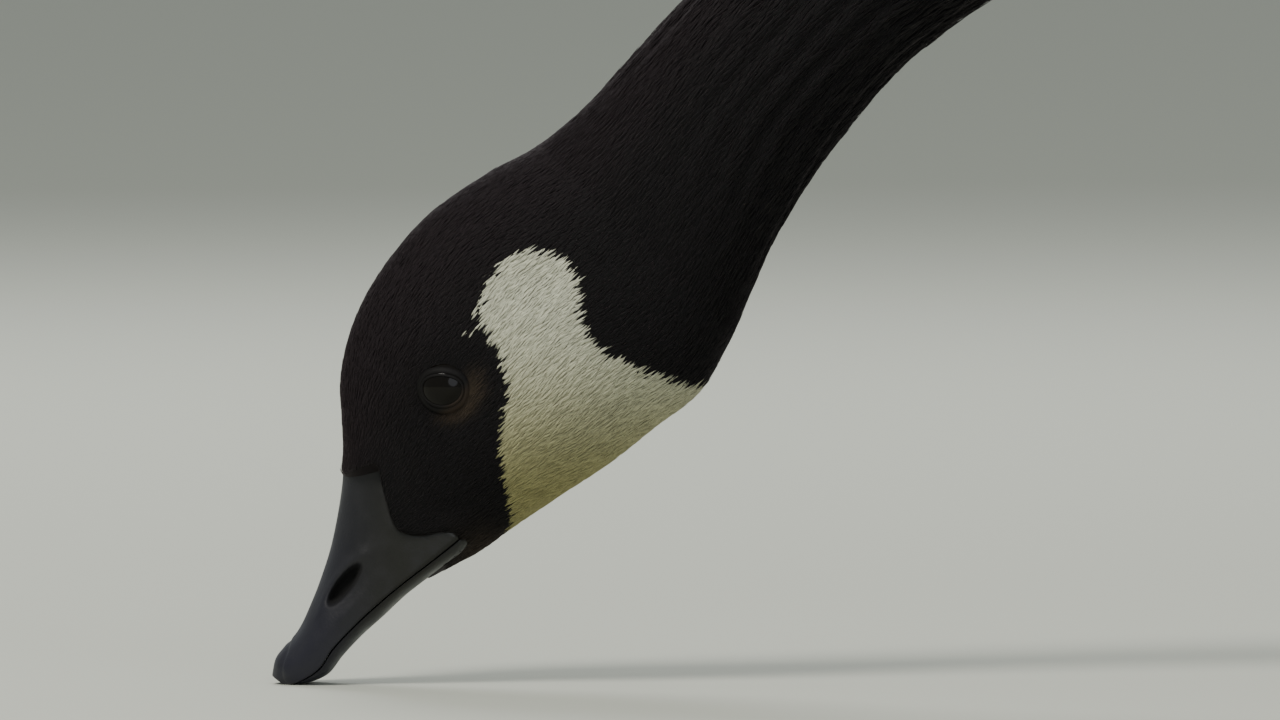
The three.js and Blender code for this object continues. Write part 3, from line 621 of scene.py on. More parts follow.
covers = {
    "cover_face": cover(skin_u, 0, CROWN_START) * clear_of_eye * off_edge,
    "cover_crown": cover(skin_u, CROWN_START, THROAT) * clear_of_eye * upper_half,
    "cover_cheek": cover(skin_u, CROWN_START, THROAT) * clear_of_eye * (1 - upper_half),
    "cover_neck": cover(skin_u, THROAT, NECK_SPLIT),
    "cover_collar": cover(skin_u, NECK_SPLIT, NECK_BASE),
    "cover_base": cover(skin_u, NECK_BASE, COLLAR + 0.3),
    "cover_breast": cover(skin_u, COLLAR, FLANK_START) * open_skin,
    "cover_flank": cover(skin_u, FLANK_START, VENT_START) * open_skin,
    "cover_vent": cover(skin_u, VENT_START, BODY_END - 0.3) * open_skin * off_edge,
}
cover_lists = {key: [value.ravel(), [0, 0]] for key, value in covers.items()}
cover_lists["cover_thigh"] = [np.zeros(count)]
for k, leg in enumerate(LEGS.values()):
    thigh_points, thigh_faces = closed_loft(thigh_rings(leg), first=count)
    flat = thigh_points[:-2]
    points.append(thigh_points)
    faces += thigh_faces
    low_v, high_v = 0.82 + 0.09 * k, 0.9 + 0.09 * k
    ring_uv = np.linspace(low_v, high_v, THIGH_RINGS)[:, None]
    thigh_uv = np.broadcast_arrays(np.linspace(0, 1, THIGH_SIDES), ring_uv)
    point_uv += [np.stack(thigh_uv, axis=-1).reshape(-1, 2), [[0.5, low_v], [0.5, high_v]]]
    high = np.append(smooth_step(110, 160, flat[:, 2]), [0, 1])
    downward = np.stack([0.25 + 0.75 * high, 0 * high, 0.4 * high - 1], axis=-1)
    lie.append(downward / np.linalg.norm(downward, axis=-1, keepdims=True))
    browner = np.append(smooth_step(110, 150, flat[:, 2]), [0, 1])
    colour.append(blend(BELLY, FLANK, 0.35 * browner))
    patch.append(np.full(len(thigh_points), NO_PATCH))
    sizes.append(np.append(np.interp(flat[:, 2], *THIGH_LENGTHS), [5, 12]))
    for key in cover_lists:
        shown = (body_share(flat) > 0.9) * (key == "cover_thigh")
        cover_lists[key].append(np.append(shown.astype(float), [0, 0]))
    count += len(thigh_points)
print("points of skin and thighs:", count)

# %% [markdown]
# ## One mesh and its unwrap
#
# The markings become named attributes of one mesh. Its unwrap is simply the angle across and the
# rows upward, so the one strip of faces where the angle starts again at zero needs its corners
# moved to the far side. The coat's bake map is laid on this unwrap, a small patch at each feather's
# root.

# %% Build the skin
fringe = smooth_step(COLLAR, 17.2, skin_u) * (0.25 + 0.5 * smooth_step(17.2, 19.5, skin_u))
fringe *= 1 - smooth_step(22.0, 23.0, skin_u)
attributes = {
    "lie": np.vstack(lie),
    "plumage": np.vstack(colour),
    "patch": np.concatenate(patch),
    "size": np.concatenate(sizes) * MM,
    "white": np.concatenate([bare_patch > 0, np.zeros(count - bare_patch.size)]).astype(float),
    "tone": np.full(count, 0.3),
    "fringe": np.concatenate([fringe.ravel(), np.full(count - skin_u.size, 0.3)]),
    **{key: np.concatenate(value) for key, value in cover_lists.items()},
}
skin = mesh_object("skin", placed(np.vstack(points)), faces, attributes)
corner_uv = np.vstack(point_uv)[corner_points(skin)]
starts = np.array([face.loop_start for face in skin.data.polygons])
totals = np.array([face.loop_total for face in skin.data.polygons])
owner = np.repeat(np.arange(len(starts)), totals)
highest = np.maximum.reduceat(corner_uv[:, 0], starts)
wraps = (highest[owner] > 0.9) & (corner_uv[:, 0] < 0.1)
corner_uv[wraps, 0] += 1.0
corner_uv[:, 0] *= 0.98
for uv_name in ("SkinUV", "OFBake"):
    add_uv(skin, uv_name, corner_uv)
print("skin triangles:", triangles(skin))

# %% [markdown]
# ## What small feathers are to the eye
#
# A small feather is matt: its barbs scatter light, and only at grazing angles a faint purple-brown
# shine runs over the black ones. So the plumage is rough, with little gloss and a little sheen. Its
# barbs show as streaks that slant away from the shaft. Real ones are a few hundredths of a
# millimetre apart, too fine to show, so they are drawn as about 34 streaks along a feather. The
# shading normal leans towards that of the skin below, because thousands of tilted vanes would
# otherwise glitter.

# %% Material of the small feathers
MATH, VECTOR_MATH = "ShaderNodeMath", "ShaderNodeVectorMath"
RANGE, SOFTLY = "ShaderNodeMapRange", {"interpolation_type": "SMOOTHSTEP"}
MIX, IN_COLOUR = "ShaderNodeMix", {"data_type": "RGBA"}
SHADER, OUTPUT = "ShaderNodeBsdfPrincipled", "ShaderNodeOutputMaterial"
STREAKS, STREAK_TONES = 34.0, 60.0  # along a feather, and how far neighbours differ
# below these heights the white cheek carries painted shade and a painted olive reflection
PAINTED_SHADE_LOW, PAINTED_SHADE_HIGH = 0.040, 0.088  # heights between which the cheek turns from olive to white


def new_material(name):
    """A material and its empty node tree."""
    material = bpy.data.materials.new(name)
    material.use_nodes = True
    material.node_tree.nodes.clear()
    return material, material.node_tree


def contour_feather_barbs():
    """Plumage of the body: matt barbs, black to white, with a faint shine at grazing angles."""
    material, tree = new_material("contour_feather_barbs")
    told = {name: add_node(tree, "ShaderNodeAttribute", attribute_name=name).outputs
            for name in ("plumage", "white", "tone", "fringe", "soft")}
    place = add_node(tree, "ShaderNodeTexCoord").outputs["Object"]
    height = add_node(tree, "ShaderNodeSeparateXYZ", [place]).outputs["Z"]
    blade = add_node(tree, "ShaderNodeUVMap", uv_map="BladeUV")
    across, along, _ = add_node(tree, "ShaderNodeSeparateXYZ", [blade]).outputs

    # the barbs: streaks that slant away from the shaft, which runs at 0.5 across the blade
    aside = add_node(tree, MATH, [across, 0.5], operation="SUBTRACT")
    aside = add_node(tree, MATH, [aside], operation="ABSOLUTE")
    slant = add_node(tree, MATH, [aside, -0.9, along], operation="MULTIPLY_ADD")
    strand = add_node(tree, "ShaderNodeCombineXYZ", {"X": slant, "Z": told["tone"]["Fac"]})
    strand = add_node(tree, VECTOR_MATH, [strand, (STREAKS, 1.0, STREAK_TONES)], operation="MULTIPLY")
    barbs = add_node(tree, "ShaderNodeTexNoise", {"Vector": strand, "Scale": 1.0, "Detail": 2.0})

    # the colour: a paler tip fringe, and the white cheek with painted shade and olive reflection below
    tip = add_node(tree, RANGE, [along, 0.72, 0.92], **SOFTLY)
    tip = add_node(tree, MATH, [tip, told["fringe"]["Fac"]], operation="MULTIPLY")
    colour = add_node(tree, MIX, [tip, told["plumage"]["Color"], linear("#cdbfa8")], **IN_COLOUR)
    # painted shade and painted olive reflection on the white, strongest towards the chin
    rise = add_node(tree, RANGE, [height, PAINTED_SHADE_LOW, PAINTED_SHADE_HIGH], **SOFTLY)
    white_with_painted_shade = add_node(tree, MIX, [rise, linear("#9d9865"), linear("#cdceb8")], **IN_COLOUR)
    colour = add_node(tree, MIX, [told["white"]["Fac"], colour, white_with_painted_shade], **IN_COLOUR)

    # lighter and darker feathers, darker roots, and the streaks
    light = add_node(tree, RANGE, [told["tone"]["Fac"], 0.0, 1.0, 0.88, 1.12], **SOFTLY)
    # darker roots and skin: partly the feathers' own darker bases, partly painted shade under the
    # overlap
    root = add_node(tree, RANGE, [along, 0.3, 0.9, 0.8, 1.05], **SOFTLY)
    light = add_node(tree, MATH, [root, light], operation="MULTIPLY")
    streak = add_node(tree, RANGE, [barbs, 0.3, 0.7, 0.91, 1.07], **SOFTLY)
    light = add_node(tree, MATH, [streak, light], operation="MULTIPLY")
    colour = add_node(tree, VECTOR_MATH, [colour, light], operation="SCALE")

    # the shading normal: the blade's own, half as long, and the skin's where the two agree
    own = add_node(tree, "ShaderNodeNewGeometry").outputs["Normal"]
    soft = told["soft"]["Vector"]
    facing = add_node(tree, VECTOR_MATH, [own, soft], operation="DOT_PRODUCT")
    facing = add_node(tree, MATH, [facing, 0.0], operation="MAXIMUM")
    soft = add_node(tree, VECTOR_MATH, [soft, facing], operation="SCALE")
    half = add_node(tree, VECTOR_MATH, [own, 0.5], operation="SCALE")
    both = add_node(tree, VECTOR_MATH, [half, soft], operation="ADD")
    normal = add_node(tree, VECTOR_MATH, [both], operation="NORMALIZE")
    bump = add_node(tree, "ShaderNodeBump", {
        "Height": barbs, "Strength": 0.3, "Distance": 0.3 * MM, "Normal": normal})
    shader = add_node(tree, SHADER, {
        "Base Color": colour, "Normal": bump, "Roughness": 0.72, "Specular IOR Level": 0.18,
        "Sheen Weight": 0.1, "Sheen Roughness": 0.4, "Sheen Tint": linear("#c9b3b8")})
    add_node(tree, OUTPUT, [shader])
    return material


FEATHER = contour_feather_barbs()
skin.data.materials.append(FEATHER)
print("nodes of the small feathers' material:", len(FEATHER.node_tree.nodes))

# %% [markdown]
# ## What flight feathers are to the eye
#
# The long vanes of wing and tail are smoother and take a soft gloss. Their barbs slant away from
# the shaft like the teeth of a comb, which a fine bump across the vane's own map gives at no cost
# in faces. Real barbs are about 0.3 mm apart. They are drawn 1.1 mm apart, so that they show, with
# streaks of light and dark along them, about 2.4 mm wide, where barbs have come unhooked.

# %% Material of the flight feathers
BARB_GAP = 0.0011  # metres
VANE_STREAKS = 420.0  # to a metre


def flight_feather_vane():
    """Flight feathers: smoother vanes whose barbs slant away from the shaft."""
    material, tree = new_material("flight_feather_vane")
    plumage_colour = add_node(tree, "ShaderNodeAttribute", attribute_name="plumage")
    place = add_node(tree, "ShaderNodeUVMap", uv_map="VaneUV")
    across, along, _ = add_node(tree, "ShaderNodeSeparateXYZ", [place]).outputs
    aside = add_node(tree, MATH, [across], operation="ABSOLUTE")
    slant = add_node(tree, MATH, [aside, -1.5, along], operation="MULTIPLY_ADD")
    turns = add_node(tree, MATH, [slant, 2 * math.pi / BARB_GAP], operation="MULTIPLY")
    barb = add_node(tree, MATH, [turns], operation="SINE")
    drawn_out = add_node(tree, MATH, [aside, 0.15], operation="MULTIPLY")
    streak_place = add_node(tree, "ShaderNodeCombineXYZ", [drawn_out, slant])
    streak = add_node(tree, "ShaderNodeTexNoise", {
        "Vector": streak_place, "Scale": VANE_STREAKS, "Detail": 3.0})
    shade = add_node(tree, RANGE, [streak, 0.3, 0.7, 0.84, 1.12], **SOFTLY)
    colour = add_node(tree, VECTOR_MATH, [plumage_colour, shade], operation="SCALE")
    bump = add_node(tree, "ShaderNodeBump", {"Height": barb, "Strength": 0.35, "Distance": 0.2 * MM})
    shader = add_node(tree, SHADER, {
        "Base Color": colour, "Normal": bump, "Roughness": 0.5, "Specular IOR Level": 0.4,
        "Sheen Weight": 0.08})
    add_node(tree, OUTPUT, [shader])
    return material


VANE = flight_feather_vane()
print("nodes of the flight feathers' material:", len(VANE.node_tree.nodes))

# %% [markdown]
# ## Shapes of single feathers
#
# Two kinds of shape are enough for the coat. On head and neck a feather is so small and loose that
# one sees only tapered wisps, and a three-sided sliver with a few faces stands for one. On the body
# each feather is a rounded scoop with a ridge along the shaft, thin at the edge and a little ragged
# at the tip. All are closed, one unit long, lie along Y and face up Z.

# %% Feather shapes
shape_random = np.random.default_rng(7)
SLIVER_ROWS = [(-0.12, 0.6, -0.05), (0.4, 1.0, 0.01)]  # along, share of the width, height
TIP_RAGGED, TIP_CURL, SHAFT_RIDGE, ROOT_DIP = 0.012, 0.03, 0.006, 0.04


def sliver(name, width, bend):
    """A three-sided wisp. Its root dips below the skin."""
    points = []
    for along, wide, up in SLIVER_ROWS:
        aside = bend * along ** 2
        low = up - bend * 0.3 * along
        points += [(aside - width * wide, along, low), (aside + width * wide, along, low)]
        points += [(aside, along, low + width * wide * 0.6)]
    points.append((bend, 1.0, -0.02))
    faces = [(0, 2, 1)] + [(a, b, b + 3, a + 3) for a, b in ((0, 1), (1, 2), (2, 0))]
    faces += [(3, 4, 6), (4, 5, 6), (5, 3, 6)]
    made = mesh_object(name, points, faces)
    corners = np.array(points)[corner_points(made)]
    add_uv(made, "BladeUV", [(0.5 + p[0] * 3, max(p[1], 0)) for p in corners])
    return made


def scoop(name, width, cup, rows, columns):
    """A rounded body feather, arched across, with a ridge along the shaft."""
    alongs = 1 - (1 - np.linspace(0, 1, rows)) ** 1.7
    across = np.linspace(-1, 1, columns)
    points = []
    for i, s in enumerate(alongs):
        wide = width * (0.35 + 0.65 * math.sin(min(s / 0.55, 1) * math.pi / 2))
        wide *= math.sqrt(max(1 - max((s - 0.5) / 0.51, 0) ** 2, 0.03))
        for a in across:
            ragged = shape_random.normal(0, TIP_RAGGED) * (abs(a) > 0.6 or i == rows - 1)
            forward = s - 0.05 * abs(a) * (s > 0.8) + ragged
            up = cup * (1 - a * a) * (1 - 0.5 * s) - TIP_CURL * s * s
            up += SHAFT_RIDGE * (a == 0) - ROOT_DIP * (s < 0.05)
            points.append((a * wide, forward * 1.1 - 0.1, up))
    starts = [r * columns for r in range(rows - 1)]
    cells = [a + c for a in starts for c in range(columns - 1)]
    faces = [(p, p + 1, p + 1 + columns, p + columns) for p in cells]
    upper = len(faces)
    faces += [(a, a + columns, a + 2 * columns - 1, a + columns - 1) for a in starts]
    faces.append(tuple(range(columns - 1, -1, -1)))
    faces.append(tuple(range((rows - 1) * columns, rows * columns)))
    made = mesh_object(name, points, faces, smooth=[i < upper for i in range(len(faces))])
    corners = np.array(points)[corner_points(made)]
    blade = [(0.5 + 0.45 * p[0] / width, min(max(p[1], 0), 1)) for p in corners]
    add_uv(made, "BladeUV", blade)
    return made


def shape_set(name, made):
    """A collection of feather shapes for the coat to draw from. It stays out of the scene."""
    group = bpy.data.collections.new(name)
    for piece in made:
        group.objects.link(piece)
        bpy.context.scene.collection.objects.unlink(piece)
    print(name, [triangles(piece) for piece in made])
    return group


WISPS, PLUMES, SCOOPS = 4, 3, 5  # how many of each the coat draws from
wisps = shape_set("wisps", [
    sliver(f"wisp_{i}", 0.06 + 0.015 * i, (i - 1.5) * 0.06) for i in range(WISPS)])
plumes = shape_set("plumes", [
    sliver(f"plume_{i}", 0.045 + 0.012 * i, (i - 1) * 0.05) for i in range(PLUMES)])
scoops = shape_set("scoops", [
    scoop(f"scoop_{i}", 0.28 + 0.03 * i, 0.022, 8, 7) for i in range(SCOOPS)])

# %% [markdown]
# ## One recipe for the whole coat
#
# Thousands of feathers follow one rule: stand on the skin, point along the lie, overlap the next
# one. Geometry Nodes states such a rule once, and each region runs it with its own spacing, tilt
# and shapes. A particle system could scatter hairs, but not solid feathers that carry colour,
# direction and a place on the skin's unwrap.

# %% The recipe in Geometry Nodes
COAT_INPUTS = {
    "Geometry": "Geometry", "Cover": "String", "Spacing": "Float", "Shapes": "Collection",
    "Stretch": "Float", "Tilt": "Float", "Uneven": "Float", "Spread": "Float", "Ragged": "Float",
    "Seed": "Int", "Material": "Material",
}
# seed and range of each thing that differs from feather to feather
CHANCES = {"edge": (11, -1.0, 1.0), "tone": (12, 0.0, 1.0), "tilt": (13, -1.0, 1.0),
           "yaw": (14, -1.0, 1.0), "growth": (15, -0.3, 0.3)}
TOLD = {"patch": "FLOAT", "size": "FLOAT", "lie": "FLOAT_VECTOR", "BladeUV": "FLOAT_VECTOR",
        "SkinUV": "FLOAT_VECTOR"}
BAKE_PATCH = 0.003  # share of the bake map that one feather takes


def coat_recipe():
    """The rule of the coat, with named inputs for its sizes."""
    tree = bpy.data.node_groups.new("coat", "GeometryNodeTree")
    tree.interface.new_socket("Geometry", in_out="OUTPUT", socket_type="NodeSocketGeometry")
    for name, kind in COAT_INPUTS.items():
        tree.interface.new_socket(name, in_out="INPUT", socket_type="NodeSocket" + kind)
    given = add_node(tree, "NodeGroupInput").outputs
    named = "GeometryNodeInputNamedAttribute"
    told = {name: add_node(tree, named, [name], data_type=kind) for name, kind in TOLD.items()}
    draw = "FunctionNodeRandomValue"
    chance = {name: add_node(tree, draw, {2: low, 3: high, 8: seed}, data_type="FLOAT")
              for name, (seed, low, high) in CHANCES.items()}

    # roots at an even spacing wherever the region's cover is 1
    square = add_node(tree, MATH, [given["Spacing"], given["Spacing"]], operation="MULTIPLY")
    crowd = add_node(tree, MATH, [3.0, square], operation="DIVIDE")
    cover_here = add_node(tree, named, [given["Cover"]], data_type="FLOAT")
    spread = add_node(tree, "GeometryNodeDistributePointsOnFaces", {
        "Mesh": given["Geometry"], "Distance Min": given["Spacing"], "Density Max": crowd,
        "Density Factor": cover_here, "Seed": given["Seed"]}, distribute_method="POISSON")
    upward = spread.outputs["Normal"]

    # what each feather keeps: white or not, lighter or darker, and the way the skin faces
    edge = add_node(tree, MATH, [chance["edge"], given["Ragged"]], operation="MULTIPLY")
    edge = add_node(tree, MATH, [told["patch"], edge], operation="ADD")
    white = add_node(tree, MATH, [edge, 0.0], operation="GREATER_THAN")
    points = spread
    for name, value, kind in (("white", white, "FLOAT"), ("tone", chance["tone"], "FLOAT"),
                              ("soft", upward, "FLOAT_VECTOR")):
        points = add_node(tree, "GeometryNodeStoreNamedAttribute", {
            "Geometry": points, "Name": name, "Value": value}, data_type=kind, domain="POINT")

    # turned up from the skin and along the lie, then tilted and swung by its own share
    align = "FunctionNodeAlignRotationToVector"
    upright = add_node(tree, align, {"Vector": upward}, axis="Z")
    laid = add_node(tree, align, {"Rotation": upright, "Vector": told["lie"]}, axis="Y", pivot_axis="Z")
    uneven = add_node(tree, MATH, [given["Uneven"], chance["tilt"], 1.0], operation="MULTIPLY_ADD")
    tilt = add_node(tree, MATH, [given["Tilt"], uneven], operation="MULTIPLY")
    yaw = add_node(tree, MATH, [given["Spread"], chance["yaw"]], operation="MULTIPLY")
    turn = add_node(tree, "ShaderNodeCombineXYZ", {"X": tilt, "Z": yaw})
    turn = add_node(tree, "FunctionNodeEulerToRotation", [turn])
    turned = add_node(tree, "FunctionNodeRotateRotation", [laid, turn], rotation_space="LOCAL")
    growth = add_node(tree, MATH, [given["Uneven"], chance["growth"], 1.0], operation="MULTIPLY_ADD")
    growth = add_node(tree, MATH, [given["Stretch"], growth], operation="MULTIPLY")
    scale = add_node(tree, MATH, [told["size"], growth], operation="MULTIPLY")

    # one of the region's shapes on every root, made real
    source = add_node(tree, "GeometryNodeCollectionInfo", [given["Shapes"], True, True])
    feathers = add_node(tree, "GeometryNodeInstanceOnPoints", {
        "Points": points, "Instance": source, "Pick Instance": True, "Rotation": turned, "Scale": scale})
    solid = add_node(tree, "GeometryNodeRealizeInstances", {"Geometry": feathers})

    # the bake map: a small patch at the root's place on the unwrap of the skin
    centred = add_node(tree, VECTOR_MATH, [told["BladeUV"], (0.5, 0.5, 0.0)], operation="SUBTRACT")
    small = add_node(tree, VECTOR_MATH, [centred, BAKE_PATCH], operation="SCALE")
    spot = add_node(tree, VECTOR_MATH, [told["SkinUV"], small], operation="ADD")
    mapped = add_node(tree, "GeometryNodeStoreNamedAttribute", {
        "Geometry": solid, "Name": "OFBake", "Value": spot}, data_type="FLOAT2", domain="CORNER")
    painted = add_node(tree, "GeometryNodeSetMaterial", {
        "Geometry": mapped, "Material": given["Material"]})
    add_node(tree, "NodeGroupOutput", {"Geometry": painted})
    return tree


RECIPE = coat_recipe()
inputs_of_recipe = [item for item in RECIPE.interface.items_tree if item.in_out == "INPUT"]
SOCKETS = {item.name: item.identifier for item in inputs_of_recipe}
print("recipe nodes:", len(RECIPE.nodes))

# %% [markdown]
# ## Growing the coat, region by region
#
# On the head the wisps are under half a millimetre apart, and on the body the scoops stand 5 mm
# apart in an even shingle. The regions keep each piece of the coat small enough to bake. The recipe
# works as a modifier on the skin, its result is taken as a plain mesh, and the modifier is removed
# again.

# %% Grow each region
def grow_coat(name, cover_name, spacing, shapes, stretch, tilt, uneven, spread, ragged, seed):
    """Feathers of one region of the skin. Lengths are in millimetres and angles in degrees."""
    modifier = skin.modifiers.new(name, "NODES")
    modifier.node_group = RECIPE
    values = {"Cover": cover_name, "Spacing": spacing * MM, "Shapes": shapes, "Stretch": stretch,
              "Tilt": math.radians(tilt), "Uneven": uneven, "Spread": math.radians(spread),
              "Ragged": ragged, "Seed": seed, "Material": FEATHER}
    for key, value in values.items():
        modifier[SOCKETS[key]] = value
    shot = skin.evaluated_get(bpy.context.evaluated_depsgraph_get())
    mesh = bpy.data.meshes.new_from_object(shot)
    skin.modifiers.remove(modifier)
    made = bpy.data.objects.new(name, mesh)
    bpy.context.scene.collection.objects.link(made)
    print(name, "triangles:", triangles(made))
    return made


# name, cover, spacing, shapes, stretch, tilt, uneven, spread, ragged edge of the white, seed
COAT_REGIONS = [
    ("coat_face", "cover_face", 0.44, wisps, 1.0, 5, 0.6, 12, 0.6, 1),
    ("coat_crown", "cover_crown", 0.48, wisps, 1.0, 5, 0.6, 10, 1.0, 2),
    ("coat_cheek", "cover_cheek", 0.48, wisps, 1.0, 5, 0.6, 10, 1.0, 3),
    ("coat_neck", "cover_neck", 0.62, plumes, 1.0, 4.5, 0.6, 9, 1.4, 4),
    ("coat_collar", "cover_collar", 0.95, plumes, 1.1, 6, 0.6, 9, 0.0, 5),
    ("coat_base", "cover_base", 1.3, plumes, 1.1, 6, 0.6, 9, 0.0, 6),
    ("coat_breast", "cover_breast", 4.8, scoops, 1.15, 4.5, 0.06, 4, 0.0, 7),
    ("coat_flank", "cover_flank", 5.8, scoops, 1.2, 4.5, 0.06, 4, 0.0, 8),
    ("coat_vent", "cover_vent", 5.2, scoops, 1.2, 4.5, 0.06, 4, 0.0, 9),
    ("coat_thigh", "cover_thigh", 3.4, scoops, 1.0, 4.5, 0.1, 6, 0.0, 10),
]
coat = [grow_coat(*region) for region in COAT_REGIONS]
FLESH = ["head", "neck_upper", "neck_lower", "torso", "rump", "thigh_left", "thigh_right"]
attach(skin, "root")
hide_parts(*FLESH)
for piece in coat:
    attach(piece, "root")
print("coat triangles:", sum(triangles(piece) for piece in coat))

# %% [markdown]
# ## Long feathers
#
# A flight feather is a thin plate with a shaft: two vanes of barbs that slope down to the edges,
# and splits where the barbs have come unhooked. Each is built in code along a line on the wing
# shell, because its place in the fan is exact, not random: every feather slips under the one above
# it, and their tips step down in rows.

# %% One long feather
vanes_random = np.random.default_rng(21)
VANE_ROWS, VANE_COLUMNS = 15, 9
VANE_SHARES = 1 - (1 - np.linspace(0, 1, VANE_ROWS)) ** 1.5  # closer together towards the tip
VANE_ACROSS = np.linspace(-1, 1, VANE_COLUMNS)
VANE_THICK = 0.35
SPLIT_DEPTH, SPLIT_CHANCE = 0.07, 0.14
BAKE_SPAN = [0.04, 0.15]  # metres across and along that one patch of the bake map holds


def plate_faces(rows, columns, first=0):
    """A closed plate between two grids of points, the outer one first."""
    faces = []
    below = rows * columns
    for r in range(rows - 1):
        for c in range(columns - 1):
            p = first + r * columns + c
            q = p + below
            faces.append((p, p + columns, p + columns + 1, p + 1))
            faces.append((q, q + 1, q + columns + 1, q + columns))
    rim = [r * columns for r in range(rows)]
    rim += [(rows - 1) * columns + c for c in range(1, columns)]
    rim += [r * columns + columns - 1 for r in range(rows - 2, -1, -1)]
    rim += list(range(columns - 2, 0, -1))
    for p, q in zip(rim, rim[1:] + rim[:1]):
        faces.append((first + p, first + p + below, first + q + below, first + q))
    return faces


class Feathers:
    """Gathers long feathers into one mesh."""

    def __init__(self):
        self.points, self.faces, self.smooth, self.colours, self.places = [], [], [], [], []
        self.count = 0

    def add(self, centre, across, out, half, base, fringe, pale, ridge=0.5, sag=0.6):
        """A vane along centre, in millimetres. across and out are unit vectors for each row."""
        s, a = VANE_SHARES, VANE_ACROSS
        length = np.linalg.norm(np.diff(centre, axis=0), axis=1).sum()
        blunt = np.sqrt(np.clip(1 - np.clip((s - 0.72) / 0.285, 0, 1) ** 2, 0.012, 1))
        wide = half * (0.45 + 0.55 * smooth_step(0, 0.35, s)) * blunt
        unhooked = vanes_random.random((VANE_ROWS, 2)) < SPLIT_CHANCE
        split = 1 - SPLIT_DEPTH * unhooked * smooth_step(0.3, 0.6, s)[:, None]
        reach = a[None, :] * np.where(a < 0, split[:, :1], split[:, 1:])
        height = ridge * np.exp(-(a / 0.1) ** 2) - sag * a * a
        side = (wide[:, None] * reach)[..., None] * across[:, None, :]
        lift = out[:, None, :]
        top = centre[:, None, :] + side + lift * (height + VANE_THICK)[None, :, None]
        low = centre[:, None, :] + side * 0.97 + lift * (height * 0.7)[None, :, None]
        plate = plate_faces(VANE_ROWS, VANE_COLUMNS, self.count)
        cells = (VANE_ROWS - 1) * (VANE_COLUMNS - 1)
        self.faces += plate
        self.smooth += [True, False] * cells + [False] * (len(plate) - 2 * cells)
        side_edge = 0.55 * smooth_step(0.75, 1.0, np.abs(a))
        edge = np.maximum(smooth_step(0.86, 0.97, s)[:, None], side_edge[None, :])
        colour = blend(base * vanes_random.uniform(0.85, 1.12), fringe, pale * edge)
        place = np.broadcast_arrays((half * a * MM)[None, :], (s * length * MM)[:, None])
        self.points += [top.reshape(-1, 3), low.reshape(-1, 3)]
        self.colours += [colour.reshape(-1, 4)] * 2
        self.places += [np.stack(place, axis=-1).reshape(-1, 2)] * 2
        self.count += 2 * VANE_ROWS * VANE_COLUMNS

    def build(self, name):
        """One piece with the barb map in metres and one patch for each feather in the bake map."""
        colours = {"plumage": np.vstack(self.colours)}
        made = mesh_object(name, placed(np.vstack(self.points)), self.faces, colours, self.smooth)
        numbers = corner_points(made)
        places = np.vstack(self.places)[numbers]
        add_uv(made, "VaneUV", places)
        each = 2 * VANE_ROWS * VANE_COLUMNS
        which = numbers // each
        grid = math.ceil(math.sqrt(self.count / each))
        cell = np.stack([which % grid, which // grid], axis=-1) + 0.5
        add_uv(made, "OFBake", cell / grid + (places / BAKE_SPAN - [0, 0.5]) * 0.8 / grid)
        made.data.materials.append(VANE)
        print(name, "feathers:", self.count // each, "triangles:", triangles(made))
        return made


print("triangles of one long feather:", 2 * len(plate_faces(VANE_ROWS, VANE_COLUMNS)))

# %% [markdown]
# ## The folded wings
#
# From shoulder to tip the rows are lesser, median and greater coverts, the secondaries, the
# tertials over the back and the crossed black primaries. The covert tips are paler and draw the
# light bars across a goose's side. One table states all rows, so that a row can be moved or made
# denser by changing one line.

# %% Rows of the wing
WING_BROWN = np.array(linear("#5a4a3e"))
WING_PALE = np.array(linear("#9d8a74"))
PRIMARY = np.array(linear("#2a2421"))
SHOULDER = blend(BREAST, WING_BROWN, 0.65)
WING_FRONT = blend(BREAST, WING_BROWN, 0.25)
# part, how many, stations of the first and last root and of their tips, degrees from the spine of
# the first and last root and of their tips, half width, height, colour, how pale the fringe is
WING_ROWS = [
    ("hand", 9, (5.2, 5.3), (7.3, 9.05), (38, 80), (35, 46), 9.5, 0.6, PRIMARY, 0.15),
    ("arm", 14, (3.4, 3.4), (6.7, 5.7), (14, 100), (12, 96), 9.4, 2.6, WING_BROWN, 0.5),
    ("arm", 15, (2.2, 2.4), (4.5, 4.2), (16, 103), (14, 103), 9.4, 3.5, WING_BROWN, 0.75),
    ("arm", 15, (1.7, 1.8), (3.5, 3.35), (17, 101), (16, 103), 9.2, 4.2, WING_BROWN, 0.7),
    ("arm", 16, (1.2, 1.3), (2.7, 2.6), (17, 101), (16, 103), 8.8, 4.7, WING_BROWN, 0.6),
    ("arm", 17, (0.85, 0.9), (2.1, 2.05), (17, 101), (16, 103), 8.2, 5.1, WING_BROWN, 0.5),
    ("arm", 18, (0.55, 0.6), (1.65, 1.6), (18, 100), (17, 102), 7.6, 5.4, WING_BROWN, 0.45),
    ("arm", 18, (0.3, 0.35), (1.25, 1.2), (19, 99), (18, 101), 7.4, 5.5, WING_BROWN, 0.4),
    ("arm", 18, (0.02, 0.04), (0.8, 0.77), (20, 99), (19, 100), 7.4, 5.5, SHOULDER, 0.5),
    ("arm", 18, (0.0, 0.0), (0.5, 0.47), (22, 97), (21, 98), 7.2, 5.5, WING_FRONT, 0.4),
    ("arm", 6, (2.2, 1.4), (5.2, 3.0), (13, 42), (10, 42), 11.5, 5.6, WING_BROWN, 0.8),
]
VANE_SUNK = -2.8 + 2.4 * smooth_step(0, 0.45, VANE_SHARES) + 0.7 * VANE_SHARES  # roots go under
ARM_ROLL, ARM_RIDGE, HAND_ROLL, HAND_RIDGE = 0.11, 0.5, 0.02, 0.12
TUCKED = 2.5  # how far the wing's lower edge goes under the flank feathers


def between(pair, share):
    """The value at a share of the way from the first of a pair to the second."""
    return pair[0] + (pair[1] - pair[0]) * share


def side_name_of(side):
    return "right" if side > 0 else "left"


def mantle_point(u, angle):
    return form_point(MANTLE, u, angle)


